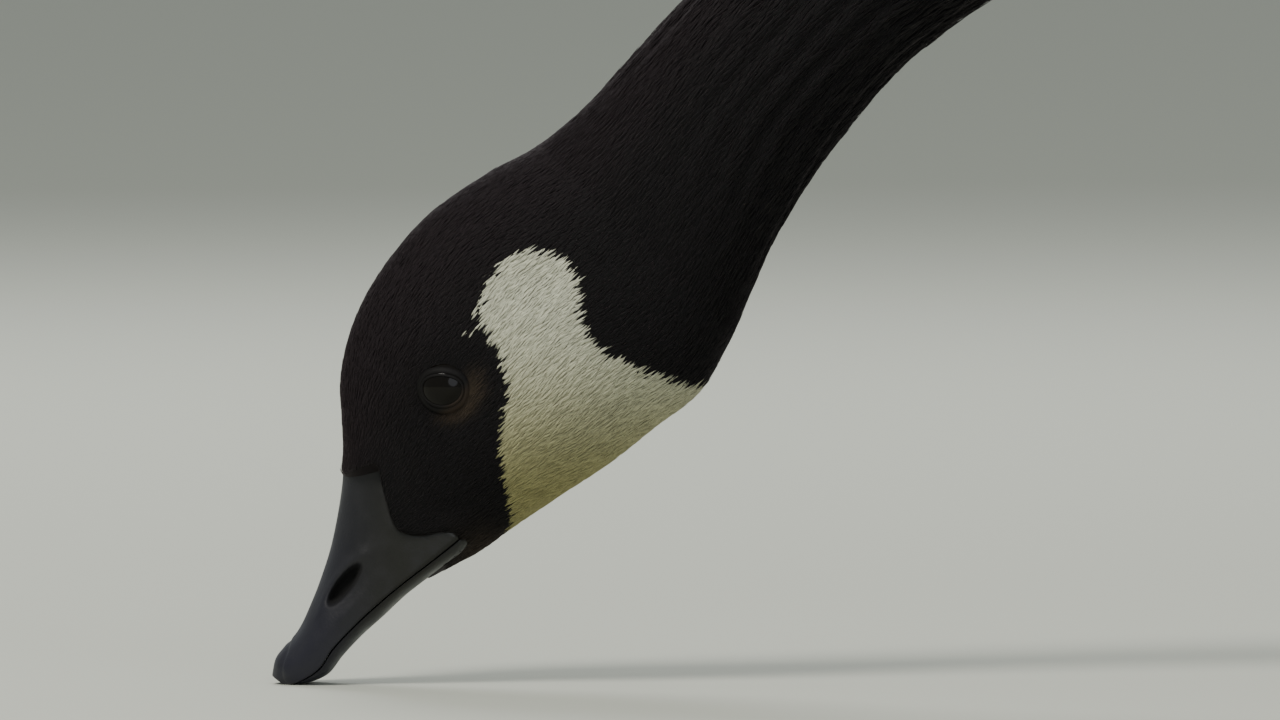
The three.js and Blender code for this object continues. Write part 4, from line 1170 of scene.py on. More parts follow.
def shoulder_height(u):
    """Height of the wing's flesh above the shell. It rises to the shoulder and sinks behind it."""
    rise = smooth_step(0.2, 0.9, u)
    return -4.5 + 5.0 * rise + 4.0 * rise * (1 - smooth_step(1.1, 2.0, u))


def lay_feather(made, u, angle, side, rise, half, base, pale, roll, ridge=0.5, fringe=WING_PALE):
    """One feather along stations u and angles."""
    _, around, out = directions(mantle_point, u, angle)
    over = around * side
    centre = mantle_point(u, angle) + out * rise[:, None]
    made.add(centre, (over + out * roll) * side, out - over * roll, half, base, fringe, pale, ridge)


def wing_feathers(side, part):
    """All long feathers of one part of a wing."""
    made = Feathers()
    roll, ridge = (ARM_ROLL, ARM_RIDGE) if part == "arm" else (HAND_ROLL, HAND_RIDGE)
    for where, number, root_u, tip_u, root_at, tip_at, half, rise, base, pale in WING_ROWS:
        if where != part:
            continue
        for i in range(number):
            t = i / (number - 1)
            tip = between(tip_u, t) + vanes_random.normal(0, 0.03)
            u = between((between(root_u, t), tip), VANE_SHARES)
            degrees = between((between(root_at, t), between(tip_at, t)), VANE_SHARES)
            if part == "arm":
                height = np.minimum(rise, shoulder_height(u) + np.where(u < 1.5, 1.6, 9.0))
                height = height - TUCKED * smooth_step(0.75, 1.0, t)
            else:
                height = rise + 0.2 * (number - 1 - i)
            angle = np.radians(degrees) * side
            lay_feather(made, u, angle, side, height + VANE_SUNK, half, base, pale, roll, ridge)
    return made.build(f"wing_vanes_{part}_{side_name_of(side)}")


print("long feathers on each wing:", sum(row[1] for row in WING_ROWS))

# %% [markdown]
# ## The flank feathers
#
# A resting goose tucks the lower edge of its wing under broad flank feathers, pale-edged and
# layered like tiles. They rise from the body and lean over the edge of the wing, the rear rows
# highest. A short row of the same feathers drapes over the top of the thigh, so that the leg comes
# out of plumage.

# %% Flank feathers
FLANK_PALE = np.array(linear("#c6b9a3"))
FLANK_ROOT = -8  # the roots start this far below the shell
# how many, stations of the first and last root, degrees from the spine of the first and last root
# and of their tips, height of the tips; the first row drapes over the thigh
FLANK_ROWS = [
    (16, (1.45, 3.05), (123, 121), (143, 140), 3.4),
    (30, (0.2, 5.1), (124, 118), (117, 108), 3.6),
    (30, (0.35, 5.2), (116, 110), (109, 100), 6.2),
]


def flank_feathers(side):
    """Broad flank feathers that rise from the body and overlap the lower edge of the wing."""
    made = Feathers()
    for number, root_u, root_at, tip_at, top in FLANK_ROWS:
        for i in range(number):
            t = i / (number - 1)
            u = between(root_u, t) + vanes_random.normal(0, 0.03) + (0.8 + 0.15 * t) * VANE_SHARES
            degrees = between((between(root_at, t), between(tip_at, t)), VANE_SHARES)
            degrees = degrees + vanes_random.normal(0, 0.9)
            grown = smooth_step(-0.1, 0.3, t)
            lift = (top + 6.2) * (0.72 + 0.28 * grown - 0.3 * smooth_step(0.85, 1, t))
            height = FLANK_ROOT + lift * smooth_step(0, 0.5, VANE_SHARES) + 1.8 * VANE_SHARES
            base = blend(BREAST, FLANK * 0.85, smooth_step(0, 0.4, t))
            base = blend(base, BELLY, smooth_step(120, 135, degrees[-1]))
            angle, half = np.radians(degrees) * side, 7 + 4 * grown
            lay_feather(made, u, angle, side, height, half, base, 0.6, 0.0, 0.3, FLANK_PALE)
    return made.build(f"flank_vanes_{side_name_of(side)}")


print("long feathers on each flank:", sum(row[0] for row in FLANK_ROWS))

# %% [markdown]
# ## The flesh below the wing feathers
#
# Between rows of feathers the eye can look down to the wing itself. A closed plate on the wing
# shell stands for its flesh. It has the wing's own brown, so that a gap reads as a deeper feather.

# %% Plates on the wing shell
PAD_ROWS, PAD_COLUMNS, PAD_DEPTH = 60, 44, 5.0


def plumed_plate(name, u, angle, height, depth, base):
    """A closed plate on the wing shell that lies below its feathers."""
    rows, columns = u.shape
    out = directions(mantle_point, u, angle)[2]
    outer = mantle_point(u, angle) + out * height[..., None]
    inner = mantle_point(u, angle) - out * depth
    faces = plate_faces(rows, columns)
    if angle[0, -1] < angle[0, 0]:
        faces = [face[::-1] for face in faces]
    points = np.vstack([outer.reshape(-1, 3), inner.reshape(-1, 3)])
    count = len(points)
    values = {
        "plumage": np.broadcast_to(base, (count, 4)), "white": np.zeros(count),
        "tone": np.full(count, 0.3),
    }
    made = mesh_object(name, placed(points), faces, values)
    t, s = np.meshgrid(np.linspace(0.02, 0.98, columns), np.linspace(0.02, 0.98, rows))
    flat = np.tile(np.stack([t, s], axis=-1).reshape(-1, 2), (2, 1))
    add_uv(made, "OFBake", flat[corner_points(made)])
    made.data.materials.append(FEATHER)
    return made


def wing_pad(side, part, from_u, to_u, top, bottom):
    """The flesh of one part of a wing. The front of the arm swells into the shoulder."""
    shares = np.linspace(0, 1, PAD_ROWS), np.linspace(0, 1, PAD_COLUMNS)
    s, t = np.meshgrid(*shares, indexing="ij")
    low, high = between(top, s), between(bottom, s)
    u = between((from_u, to_u), s)
    rim = smooth_step(0, 1, np.minimum(np.minimum(t, 1 - t) * 9, (1 - s) * 14).clip(0, 1))
    height = -4.5 + ((shoulder_height(u) if part == "arm" else -0.5) + 4.5) * rim
    base = PRIMARY if part == "hand" else WING_BROWN
    angle = np.radians(between((low, high), t)) * side
    return plumed_plate(f"wing_pad_{part}_{side_name_of(side)}", u, angle, height, PAD_DEPTH, base)


# first and last station, then degrees from the spine of the upper and the lower edge at each
PADS = {"arm": (0.22, 5.25, (13, 10), (106, 97)), "hand": (5.2, 6.9, (31, 30), (92, 78))}
for side, side_name in ((-1, "left"), (1, "right")):
    for part, span in PADS.items():
        pad = wing_pad(side, part, *span)
        pieces = [pad, wing_feathers(side, part)]
        for piece in pieces:
            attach(piece, "root")
        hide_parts(f"wing_{side_name}_{part}")
    flank = flank_feathers(side)
    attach(flank, "root")

# %% [markdown]
# ## The saddle of scapulars
#
# Between folded wings the back is closed by the scapulars, broad feathers that lie over the upper
# edge of each wing. A low saddle on the same shell carries them, so that no trench is left between
# the wings.

# %% Back and scapulars
def saddle_height(u, share):
    """Height of the saddle above the shell. share is 0 on the spine and 1 at its edge."""
    front = -5.0 + 11.5 * smooth_step(-0.3, 1.3, u)
    rear = 5.0 * smooth_step(3.2, 5.2, u) + 15.0 * smooth_step(5.3, 6.9, u)
    return front - rear - 3.5 * smooth_step(0.65, 1.0, np.abs(share))


def saddle_half_angle(u):
    return np.interp(u, [0, 1.0, 3.5, 5.0, 6.5, 7.6], [34, 27, 20, 20, 32, 40])


SADDLE_ROWS, SADDLE_COLUMNS, SADDLE_DEPTH = 120, 41, 16.0
SCAPULAR_ROWS = 23
saddle_shares = np.linspace(0, 6.9, SADDLE_ROWS), np.linspace(-1, 1, SADDLE_COLUMNS)
saddle_u, saddle_share = np.meshgrid(*saddle_shares, indexing="ij")
saddle_angle = np.radians(saddle_half_angle(saddle_u) * saddle_share)
saddle_colour = blend(BREAST, BACK, smooth_step(0, 0.9, saddle_u))
saddle_colour = blend(saddle_colour, RUMP_BLACK, smooth_step(5.3, 5.8, saddle_u)).reshape(-1, 4)
saddle = plumed_plate("back_saddle", saddle_u, saddle_angle, saddle_height(saddle_u, saddle_share),
                      SADDLE_DEPTH, np.tile(saddle_colour, (2, 1)))
scapulars = Feathers()
for row, root in enumerate(np.linspace(6.05, 0.02, SCAPULAR_ROWS)):
    number = int(np.interp(root, [0, 2, 5, 7], [9, 7, 7, 8])) + row % 2
    for i in range(number):
        share = (2 * i / (number - 1) - 1) * 0.95
        u = root + np.interp(root, [0, 1.5, 4, 7], [0.7, 0.95, 1.0, 0.8]) * VANE_SHARES
        angle = np.radians(saddle_half_angle(u) * share)
        height = saddle_height(u, share) - 0.9 + 3.4 * VANE_SHARES + 0.15 * (i % 2)
        black = root > 5.2 + 0.05 * vanes_random.normal()
        half = np.interp(root, [0, 2, 5, 7], [7.0, 9.0, 9.0, 7.5])
        brown = blend(BREAST, BACK, smooth_step(-0.2, 0.9, root))
        base, pale = (RUMP_BLACK, 0.05) if black else (brown, 0.65)
        lay_feather(scapulars, u, angle, 1, height, half, base, pale, 0.0)
scapulars = scapulars.build("scapulars")
for piece in (saddle, scapulars):
    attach(piece, "root")

# %% [markdown]
# ## The tail
#
# A goose's tail is a short fan of black feathers, the middle pair on top, below a clean white
# crescent of coverts. All of them start from one fleshy root and spread from it by a few degrees,
# so one function gives the line of any feather from its share of the fan.

# %% Tail feathers and their coverts
TAIL_BLACK = np.array(linear("#201c1b"))
TAIL = {"root": (742, 280), "droop": 3, "spread": 13, "root_half": 20}
TAIL_FEATHERS, TAIL_HALF, TAIL_CAMBER = 16, 9.5, 0.8
COVERTS, COVERT_HALF, COVERT_FORWARD = 11, 8.5, 8
ROOT_RINGS, ROOT_SIDES, ROOT_X, ROOT_Z = 25, 36, 754, 277
ROOT_HALF = (26, 25, 8.4)  # half length, half width and half height of the fleshy root


def tail_line(share, length, level, back):
    """Rows of a tail feather. share runs from -1 at the left to 1 at the right."""
    turn, drop = math.radians(share * TAIL["spread"]), math.radians(TAIL["droop"])
    along = length * VANE_SHARES - back
    x = TAIL["root"][0] + along * math.cos(turn) * math.cos(drop)
    y = share * TAIL["root_half"] + along * math.sin(turn)
    z = TAIL["root"][1] - along * math.sin(drop) + level * smooth_step(0, 0.3, VANE_SHARES) - abs(share)
    across = np.tile([math.sin(turn), -math.cos(turn), 0.0], (VANE_ROWS, 1))
    return np.stack([x, y, z], axis=-1), across, np.tile([0.05, 0.0, 1.0], (VANE_ROWS, 1))


def roots_of_tail():
    """The fleshy root of the tail, mostly hidden."""
    shares = np.linspace(0, math.pi, ROOT_RINGS), np.linspace(0, 2 * math.pi, ROOT_SIDES, endpoint=False)
    u, v = np.meshgrid(*shares, indexing="ij")
    long, wide, tall = ROOT_HALF
    y, z = wide * np.sin(u) * np.cos(v), ROOT_Z + tall * np.sin(u) * np.sin(v)
    rings = np.stack([ROOT_X - long * np.cos(u), y, z], axis=-1)[1:-1]
    ends = [[ROOT_X - long, 0, ROOT_Z], [ROOT_X + long, 0, ROOT_Z]]
    flat, faces = closed_loft(rings, ends)
    colours = {"plumage": np.tile(TAIL_BLACK, (len(flat), 1))}
    made = mesh_object("tail_root", placed(flat), [face[::-1] for face in faces], colours)
    place = (flat[:, [1, 0]] - [0, ROOT_X - long])[corner_points(made)] / 60
    add_uv(made, "VaneUV", place * 0.06)
    add_uv(made, "OFBake", place + [0.5, 0])
    made.data.materials.append(VANE)
    return made


tail_fan, covert_fan = Feathers(), Feathers()
for i in range(TAIL_FEATHERS):
    share = (i + 0.5) / (TAIL_FEATHERS / 2) - 1
    order = abs(share)
    level = 1.6 - 5.6 * order + 0.2 * (share > 0)
    line, across, out = tail_line(share, 118 - 14 * order ** 2, level, 0)
    tail_fan.add(line, across, out, TAIL_HALF, TAIL_BLACK, TAIL_BLACK, 0, sag=TAIL_CAMBER)
for i in range(COVERTS):
    share = 2 * i / (COVERTS - 1) - 1
    level = 4.6 - 3.2 * abs(share) - 0.5 * (i % 2)
    line, across, out = tail_line(share, 76 - 16 * abs(share), level, -COVERT_FORWARD)
    covert_fan.add(line, across, out, COVERT_HALF, VENT, VENT, 0)
tail_root = roots_of_tail()
tail_fan, covert_fan = tail_fan.build("tail_vanes"), covert_fan.build("tail_coverts")
for piece in (tail_root, tail_fan, covert_fan):
    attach(piece, "root")
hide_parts("tail")

# %% [markdown]
# ## The bill
#
# The bill is bone under a thin skin of keratin, satin to the touch: dark grey, a little olive at
# its base, with a painted bluish sheen towards the nail. It is a loft between the ridge and the
# mouth line, as in the solids, only denser. The nostril is pressed into it by moving points
# inwards, with its raised rim, instead of a boolean cut that would leave odd faces.

# %% Bill stations and surface
# from the face to the tip: ridge x and z, mouth x and z, lower edge x and z, half width
BILL = np.array([
    [16.4, 56, 45.5, 36, 50, 32.5, 13.4],
    [15.7, 44.3, 37.8, 29.7, 40.7, 27.7, 12.9],
    [13.6, 32.4, 28.8, 22.7, 31.3, 21, 12.0],
    [11.2, 24.4, 22.5, 17.3, 25.2, 15.4, 11.2],
    [8.9, 18.4, 17.6, 12.6, 20.2, 10.9, 10.6],
    [6.2, 12.6, 13.5, 8.1, 16, 6.4, 10.0],
    [3.1, 8.6, 10.4, 3.6, 12.6, 2.2, 9.2],
    [0.9, 5.6, 5.6, 0.6, 7.6, 0.1, 7.2],
    [0.1, 1.8, 2.4, 0.1, 4.2, 0.1, 4.0],
])
BILL_RINGS, BILL_ARC, MOUTH_POINTS, MOUTH_GAP = 170, 71, 7, 0.3
NOSTRIL = {"at": (16.4, 22.7), "half_length": 6.2, "half_width": 1.9, "depth": 3.0,
           "pitch": math.radians(52)}
NAIL = {"at": (2.2, 3.4), "along": 6.2, "across": 5.2, "pitch": math.radians(55)}
LIFTED = 0.1  # the underside of the tip stays this far above the floor


def bill_surface(upper, rows, arc):
    """Rings of one half of the bill, from the face to the tip."""
    u = np.linspace(0, 8 if upper else 7, rows)
    v = through(BILL, u)
    mouth, over = v[:, 2:4], v[:, 0:2] if upper else v[:, 4:6]
    width = v[:, 6] - (0 if upper else 0.9)
    a = np.linspace(0, math.pi, arc)
    inside = np.linspace(-1, 1, MOUTH_POINTS + 2)[1:-1]
    y = np.concatenate([np.cos(a) * (1 + 0.05 * np.sin(2 * a) ** 2), inside])
    rise = np.concatenate([np.sin(a), np.zeros(MOUTH_POINTS)])
    gap = 0.0 if upper else MOUTH_GAP
    depth = np.linalg.norm(over - mouth, axis=1)
    up = ((gap + rise[None, :] * (depth - gap)[:, None]) / depth[:, None])[..., None]
    line = mouth[:, None, :] + (over - mouth)[:, None, :] * up
    return np.stack([line[..., 0], width[:, None] * y[None, :], line[..., 1]], axis=-1)


def press_nostril(p):
    """A shallow hollow round each nostril, a deep slot in it and a raised rim above it."""
    dx, dz = p[..., 0] - NOSTRIL["at"][0], p[..., 2] - NOSTRIL["at"][1]
    cos, sin = math.cos(NOSTRIL["pitch"]), math.sin(NOSTRIL["pitch"])
    a, b = dx * cos + dz * sin, dz * cos - dx * sin
    far = np.hypot(a / NOSTRIL["half_length"], b / NOSTRIL["half_width"])
    inward = NOSTRIL["depth"] * (1 - smooth_step(0.55, 1.05, far))
    inward += 0.45 * np.exp(-((a + 2) / 9) ** 2 - ((b + 1.5) / 3) ** 2)
    inward -= 0.4 * np.exp(-((far - 1.35) / 0.3) ** 2) * smooth_step(-0.5, 1.0, b)
    inward -= 0.25 * np.exp(-((b + 4.2) / 0.9) ** 2) * smooth_step(6, 2, np.abs(a + 3))
    side = np.clip(np.abs(p[..., 1]) / 7, 0, 1) ** 2
    p[..., 1] -= np.sign(p[..., 1]) * inward * side
    return (1 - smooth_step(0.75, 1.15, far)) * side


def shape_nail(p):
    """A low nail at the tip with a fine groove round it."""
    dx, dz = p[..., 0] - NAIL["at"][0], p[..., 2] - NAIL["at"][1]
    cos, sin = math.cos(NAIL["pitch"]), math.sin(NAIL["pitch"])
    far = np.hypot((dx * cos + dz * sin) / NAIL["along"], p[..., 1] / NAIL["across"])
    lift = 0.15 * (1 - smooth_step(0.75, 0.95, far)) - 0.2 * np.exp(-((far - 1.02) / 0.08) ** 2)
    p[..., 0] -= lift * sin
    p[..., 2] += lift * cos * 0.6


print("bill stations:", len(BILL))

# %% [markdown]
# ## Both halves of the bill
#
# Behind the line of the feathers the bill goes on into the head, narrowing, so that the wisps along
# its edge stand over it and no gap opens. The keratin is finely pored and mottled: pores a little
# over half a millimetre apart, mottles of 5 to 6 millimetres. Its gloss is that of satin, and it is
# dull in the nostril, which is painted near black as the shade of its opening.

# %% Build the bill
PORES, MOTTLES = 1600.0, 180.0  # to a metre


def bill_piece(name, upper):
    rings = bill_surface(upper, BILL_RINGS, BILL_ARC)
    hollow = np.zeros(rings.shape[:2])
    if upper:
        hollow = press_nostril(rings)
        shape_nail(rings)
    behind = -inside_distance(FEATHER_LINE, rings[..., 0], rings[..., 2])
    middle = rings.mean(axis=1, keepdims=True)
    narrow = 0.13 * np.clip(behind / 1.5, 0, 1) + 0.5 * np.clip((behind - 1) / 6, 0, 1)
    rings += (middle - rings) * narrow[..., None]
    rings[..., 2] = np.maximum(rings[..., 2], LIFTED)
    points, faces = closed_loft(rings)
    faces = faces if upper else [face[::-1] for face in faces]
    made = mesh_object(name, placed(points), faces, {"hollow": np.append(hollow.ravel(), [0, 0])})
    print(name, "triangles:", triangles(made))
    return made


def bill_keratin():
    """Dark grey satin keratin, olive at the base, painted bluish sheen near the nail, fine pores."""
    material, tree = new_material("bill_keratin")
    place = add_node(tree, "ShaderNodeTexCoord").outputs["Object"]
    forward = add_node(tree, "ShaderNodeSeparateXYZ", [place]).outputs["X"]
    hollow = add_node(tree, "ShaderNodeAttribute", attribute_name="hollow").outputs["Fac"]
    mottle = add_node(tree, "ShaderNodeTexNoise", {"Vector": place, "Scale": MOTTLES, "Detail": 4.0})
    fine = add_node(tree, "ShaderNodeTexNoise", {"Vector": place, "Scale": PORES, "Detail": 2.0})
    base = add_node(tree, RANGE, [forward, -0.425, -0.400], **SOFTLY)
    # olive at the base, and a painted bluish sheen towards the nail
    colour = add_node(tree, MIX, [base, linear("#191924"), linear("#141410")], **IN_COLOUR)
    spot = add_node(tree, RANGE, [mottle, 0.45, 0.8, 0.0, 0.4], **SOFTLY)
    colour = add_node(tree, MIX, [spot, colour, linear("#232327")], **IN_COLOUR)
    # the nostril painted near black: painted shade inside its opening
    colour = add_node(tree, MIX, [hollow, colour, linear("#050505")], **IN_COLOUR)
    rough = add_node(tree, RANGE, [mottle, 0.3, 0.7, 0.36, 0.5], **SOFTLY)
    rough = add_node(tree, MATH, [rough, hollow], operation="ADD")
    bump = add_node(tree, "ShaderNodeBump", {"Height": fine, "Strength": 0.25, "Distance": 0.2 * MM})
    shader = add_node(tree, SHADER, {
        "Base Color": colour, "Normal": bump, "Roughness": rough, "Specular IOR Level": 0.38})
    add_node(tree, OUTPUT, [shader])
    return material


BILL_SKIN = bill_keratin()
upper_bill, lower_bill = bill_piece("bill_upper_skin", True), bill_piece("bill_lower_skin", False)
for piece, nodes in ((upper_bill, ("bill_upper", "bill_nail")), (lower_bill, ("bill_lower",))):
    piece.data.materials.append(BILL_SKIN)
    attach(piece, "root")
    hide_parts(*nodes)

# %% [markdown]
# ## The eyes
#
# The goose's eye is a dark wet ball of which the lids show less than a third. Gloss does the work:
# a smooth cornea that mirrors the sky as one soft glint. The lids are rolled rims of bare dark skin
# that rest on the ball, the upper one a little flatter. The ball is a plain sphere, and the lid a
# swept tube whose line follows the sphere.

# %% Eyes and lids
BALL_RINGS, BALL_SIDES, LID_STEPS, LID_SIDES = 49, 96, 96, 14
LID_FLATTENED = 0.62  # height of the lid's roll over its girth


def ball(name, centre, radius):
    turns = np.linspace(0, 2 * math.pi, BALL_SIDES, endpoint=False)
    u, v = np.meshgrid(np.linspace(0, math.pi, BALL_RINGS), turns, indexing="ij")
    unit = np.stack([np.sin(u) * np.cos(v), np.sin(u) * np.sin(v), -np.cos(u)], axis=-1)[1:-1]
    ends = [centre - [0, 0, radius], centre + [0, 0, radius]]
    points, faces = closed_loft(centre + radius * unit, ends)
    return mesh_object(name, placed(points), faces)


def lid_rings(side, wide, tall, girth, lift):
    """Rings of a lid round an opening of half width wide and half height tall."""
    mirror = np.array([1, side, 1])
    out, centre = EYE_OUT * mirror, EYE_CENTRE * mirror
    forward = np.array([-1.0, 0, 0])
    forward = forward - out * forward.dot(out)
    forward /= np.linalg.norm(forward)
    up = np.cross(out, forward) * (1 if np.cross(out, forward)[2] > 0 else -1)
    turn = np.linspace(0, 2 * math.pi, LID_STEPS, endpoint=False)
    x = wide * np.cos(turn)
    z = tall * np.where(np.sin(turn) > 0, 0.9 * np.abs(np.sin(turn)) ** 0.78, np.sin(turn))
    near = np.sqrt(np.maximum(EYE_RADIUS ** 2 - x ** 2 - z ** 2, 1.0))
    line = centre + forward * x[:, None] + up * z[:, None] + out * (near + lift)[:, None]
    spread = line - centre
    spread = spread / np.linalg.norm(spread, axis=1, keepdims=True)
    tangent = np.roll(line, -1, axis=0) - np.roll(line, 1, axis=0)
    tangent /= np.linalg.norm(tangent, axis=1, keepdims=True)
    aside = np.cross(tangent, spread)
    a = np.linspace(0, 2 * math.pi, LID_SIDES, endpoint=False)[None, :, None]
    rolled = aside[:, None] * girth * np.cos(a)
    return line[:, None] + rolled + spread[:, None] * girth * LID_FLATTENED * np.sin(a)


def ring_piece(name, rings):
    """A closed tube that runs round into itself."""
    rows, columns = rings.shape[:2]
    faces = loft_faces(rows + 1, columns)
    faces = [tuple(n % (rows * columns) for n in face) for face in faces]
    return mesh_object(name, placed(rings.reshape(-1, 3)), faces)


print("faces of a lid:", LID_STEPS * LID_SIDES)

# %% [markdown]
# ## What the eye and its lids are made of
#
# The ball is one wet clear surface over a blackish brown iris, so dark that pupil and iris can't be
# told apart. Its IOR is that of tears, and its roughness low, for one clean glint. The lids are
# bare skin, finely wrinkled: wrinkles two thirds of a millimetre apart, nearly black, and browner
# behind the eye.

# %% Build the eyes
WRINKLES = 1500.0  # to a metre


def wet_eye():
    """A wet ball: blackish brown under a smooth clear surface."""
    material, tree = new_material("wet_eye")
    shader = add_node(tree, SHADER, {
        "Base Color": linear("#0c0906"), "Roughness": 0.1, "IOR": 1.36, "Specular IOR Level": 0.3})
    add_node(tree, OUTPUT, [shader])
    return material


def eyelid_skin():
    """Bare lid skin, moist at the rim: nearly black, and brown behind the eye."""
    material, tree = new_material("eyelid_skin")
    place = add_node(tree, "ShaderNodeTexCoord").outputs["Object"]
    x, _, z = add_node(tree, "ShaderNodeSeparateXYZ", [place]).outputs
    lean = add_node(tree, MATH, [x, z], operation="SUBTRACT")
    split = (TIP_X + EYE_AT[0] - EYE_AT[1]) * MM
    rear = add_node(tree, RANGE, [lean, split + 0.003, split + 0.007], **SOFTLY)
    colour = add_node(tree, MIX, [rear, linear("#0b0909"), linear("#2a2119")], **IN_COLOUR)
    wrinkle = add_node(tree, "ShaderNodeTexNoise", {"Vector": place, "Scale": WRINKLES, "Detail": 2.0})
    bump = add_node(tree, "ShaderNodeBump", {"Height": wrinkle, "Strength": 0.4, "Distance": 0.2 * MM})
    shader = add_node(tree, SHADER, {
        "Base Color": colour, "Normal": bump, "Roughness": 0.7, "Specular IOR Level": 0.2})
    add_node(tree, OUTPUT, [shader])
    return material


WET_EYE, LID_SKIN = wet_eye(), eyelid_skin()
# half width and half height of the opening, girth and lift off the ball
LIDS = {"rim": (4.7, 3.8, 0.34, 0.1), "fold": (5.4, 4.8, 0.95, -0.3)}
for side, side_name in ((-1, "left"), (1, "right")):
    eye = ball(f"eye_ball_{side_name}", EYE_CENTRE * [1, side, 1], EYE_RADIUS)
    eye.data.materials.append(WET_EYE)
    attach(eye, "root")
    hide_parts(f"eye_{side_name}")
    for lid_name, numbers in LIDS.items():
        lid = ring_piece(f"lid_{lid_name}_{side_name}", lid_rings(side, *numbers))
        lid.data.materials.append(LID_SKIN)
        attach(lid, "root")
print("eyes and lids made")

# %% [markdown]
# ## Legs and webbed feet
#
# Shank, toes and web are one continuous leathery skin. Tubes and a thin sheet are laid out first
# and then fused by a voxel remesh, which rounds the creases where toe and web meet as skin would. A
# goose walks on three toes spread by webs, and the short hind toe barely reaches the ground.

# %% Toes, web and tubes
# degrees from straight ahead, length to the claw, radius
TOES = {"inner": (27, 58, 3.6), "middle": (-2, 74, 4.0), "outer": (-29, 71, 3.7)}
HIND_TURN, HIND_LENGTH, HIND_HIGH, HIND_FALL = 160, 15, 11, 5
HIND_GIRTHS = [3.4, 2.5, 1.6]
TOE_HEIGHT, ANKLE_Z, TUBE_SIDES = 3.3, 15, 20
WEB_TOP, WEB_BOTTOM, WEB_REACH, WEB_SCOOP = 2.7, 1.1, 0.92, 0.8


def toe_end(foot, side, turn, length, z):
    a = math.radians(turn)
    return [foot[0] - length * math.cos(a), foot[1] - side * length * math.sin(a), z]


def closed_tube(points, widths, heights, sides, first):
    """Points and faces of a closed tube, numbered from first."""
    return closed_loft(spine_rings(points, widths, heights, sides), first=first)


def joined(parts, sides):
    """Points and faces of several closed tubes together."""
    points, faces, count = [], [], 0
    for line, widths, heights in parts:
        p, f = closed_tube(line, widths, heights, sides, count)
        points.append(p)
        faces += f
        count += len(p)
    return points, faces, count


def web_sheet(foot, side, first):
    """A thin sheet between the toes, with a scooped front edge."""
    tips = [np.array(toe_end(foot, side, turn, WEB_REACH * length, 0)[:2])
            for turn, length, _ in TOES.values()]
    edge = [tips[0]]
    for a, b in ((tips[0], tips[1]), (tips[1], tips[2])):
        bend = np.array(foot) + ((a + b) / 2 - foot) * WEB_SCOOP
        for t in np.linspace(0, 1, 15)[1:]:
            edge.append((1 - t) ** 2 * a + 2 * t * (1 - t) * bend + t * t * b)
    outline = np.vstack([[[foot[0] + 2, foot[1]]], edge])
    number = len(outline)
    levels = (WEB_TOP, WEB_BOTTOM)
    points = np.vstack([np.column_stack([outline, np.full(number, z)]) for z in levels])
    faces = []
    for i in range(1, number - 1):
        up = (0, i, i + 1) if side < 0 else (0, i + 1, i)
        faces.append(tuple(first + n for n in up))
        faces.append(tuple(first + number + n for n in up[::-1]))
    for i in range(number):
        j = (i + 1) % number
        quad = (i, i + number, j + number, j) if side < 0 else (i, j, j + number, i + number)
        faces.append(tuple(first + n for n in quad))
    return points, faces


print("toes:", ", ".join(TOES), "and hind")

# %% [markdown]
# ## Fusing a leg
#
# Toe joints are soft pads, so each toe's tube swells three times on its way. The knuckle is a ball
# where the toes meet. The shank is flat from side to side and thickens towards the hock. The remesh
# works with voxels of 0.7 mm, fine enough for the web's edge.

# %% Shank, foot and toes as one skin
SHANK_SHARES = [-0.06, 0.08, 0.3, 0.62, 0.86, 0.96, 1.12]  # from the ankle to the hock
SHANK_WIDTHS = [4.7, 4.3, 3.7, 3.9, 5.2, 6.2, 3.6]
SHANK_DEPTHS = [5.4, 5.0, 4.5, 4.8, 6.6, 7.6, 4.2]
PAD_WAVES, PAD_SWELL = 3.2, 0.13
KNUCKLE = {"z": 7.4, "half_height": 8.0, "half_width": 6.8, "half_length": 8.5}
VOXEL = 0.0007


def leg_tubes(leg):
    """Lines, half widths and half heights of the tubes of one leg."""
    side, foot, hock = leg["side"], np.array(leg["foot"], float), np.array(leg["hock"], float)
    ankle = np.array([foot[0] + 3, foot[1], ANKLE_Z])
    parts = []
    shares = np.linspace(-0.05, 1, 40)
    swell = 1 + PAD_SWELL * np.cos(shares * 2 * math.pi * PAD_WAVES) * smooth_step(0.1, 0.3, shares)
    for turn, length, radius in TOES.values():
        taper = np.interp(shares, [-0.05, 0.33, 0.94, 1], [1.25, 1.05, 0.82, 0.6])
        girth = radius * taper * swell
        heights = [TOE_HEIGHT + (1.5 if s < 0 else 0) for s in shares]
        line = [toe_end(foot, side, turn, length * s, z) for s, z in zip(shares, heights)]
        parts.append((line, girth, girth))
    hind = [toe_end(foot, side, HIND_TURN, HIND_LENGTH * s, HIND_HIGH - HIND_FALL * s)
            for s in (0, 0.6, 1)]
    parts.append((hind, HIND_GIRTHS, HIND_GIRTHS))
    up = np.linspace(-0.98, 0.98, 12)
    rounded = np.sqrt(1 - up ** 2)
    line = [[foot[0] + 1, foot[1], KNUCKLE["z"] + KNUCKLE["half_height"] * k] for k in up]
    parts.append((line, KNUCKLE["half_width"] * rounded, KNUCKLE["half_length"] * rounded))
    shares = np.linspace(SHANK_SHARES[0], 1.1, 60)
    widths, depths = (np.interp(shares, SHANK_SHARES, rows) for rows in (SHANK_WIDTHS, SHANK_DEPTHS))
    parts.append(([ankle + (hock - ankle) * s for s in shares], widths, depths))
    return parts


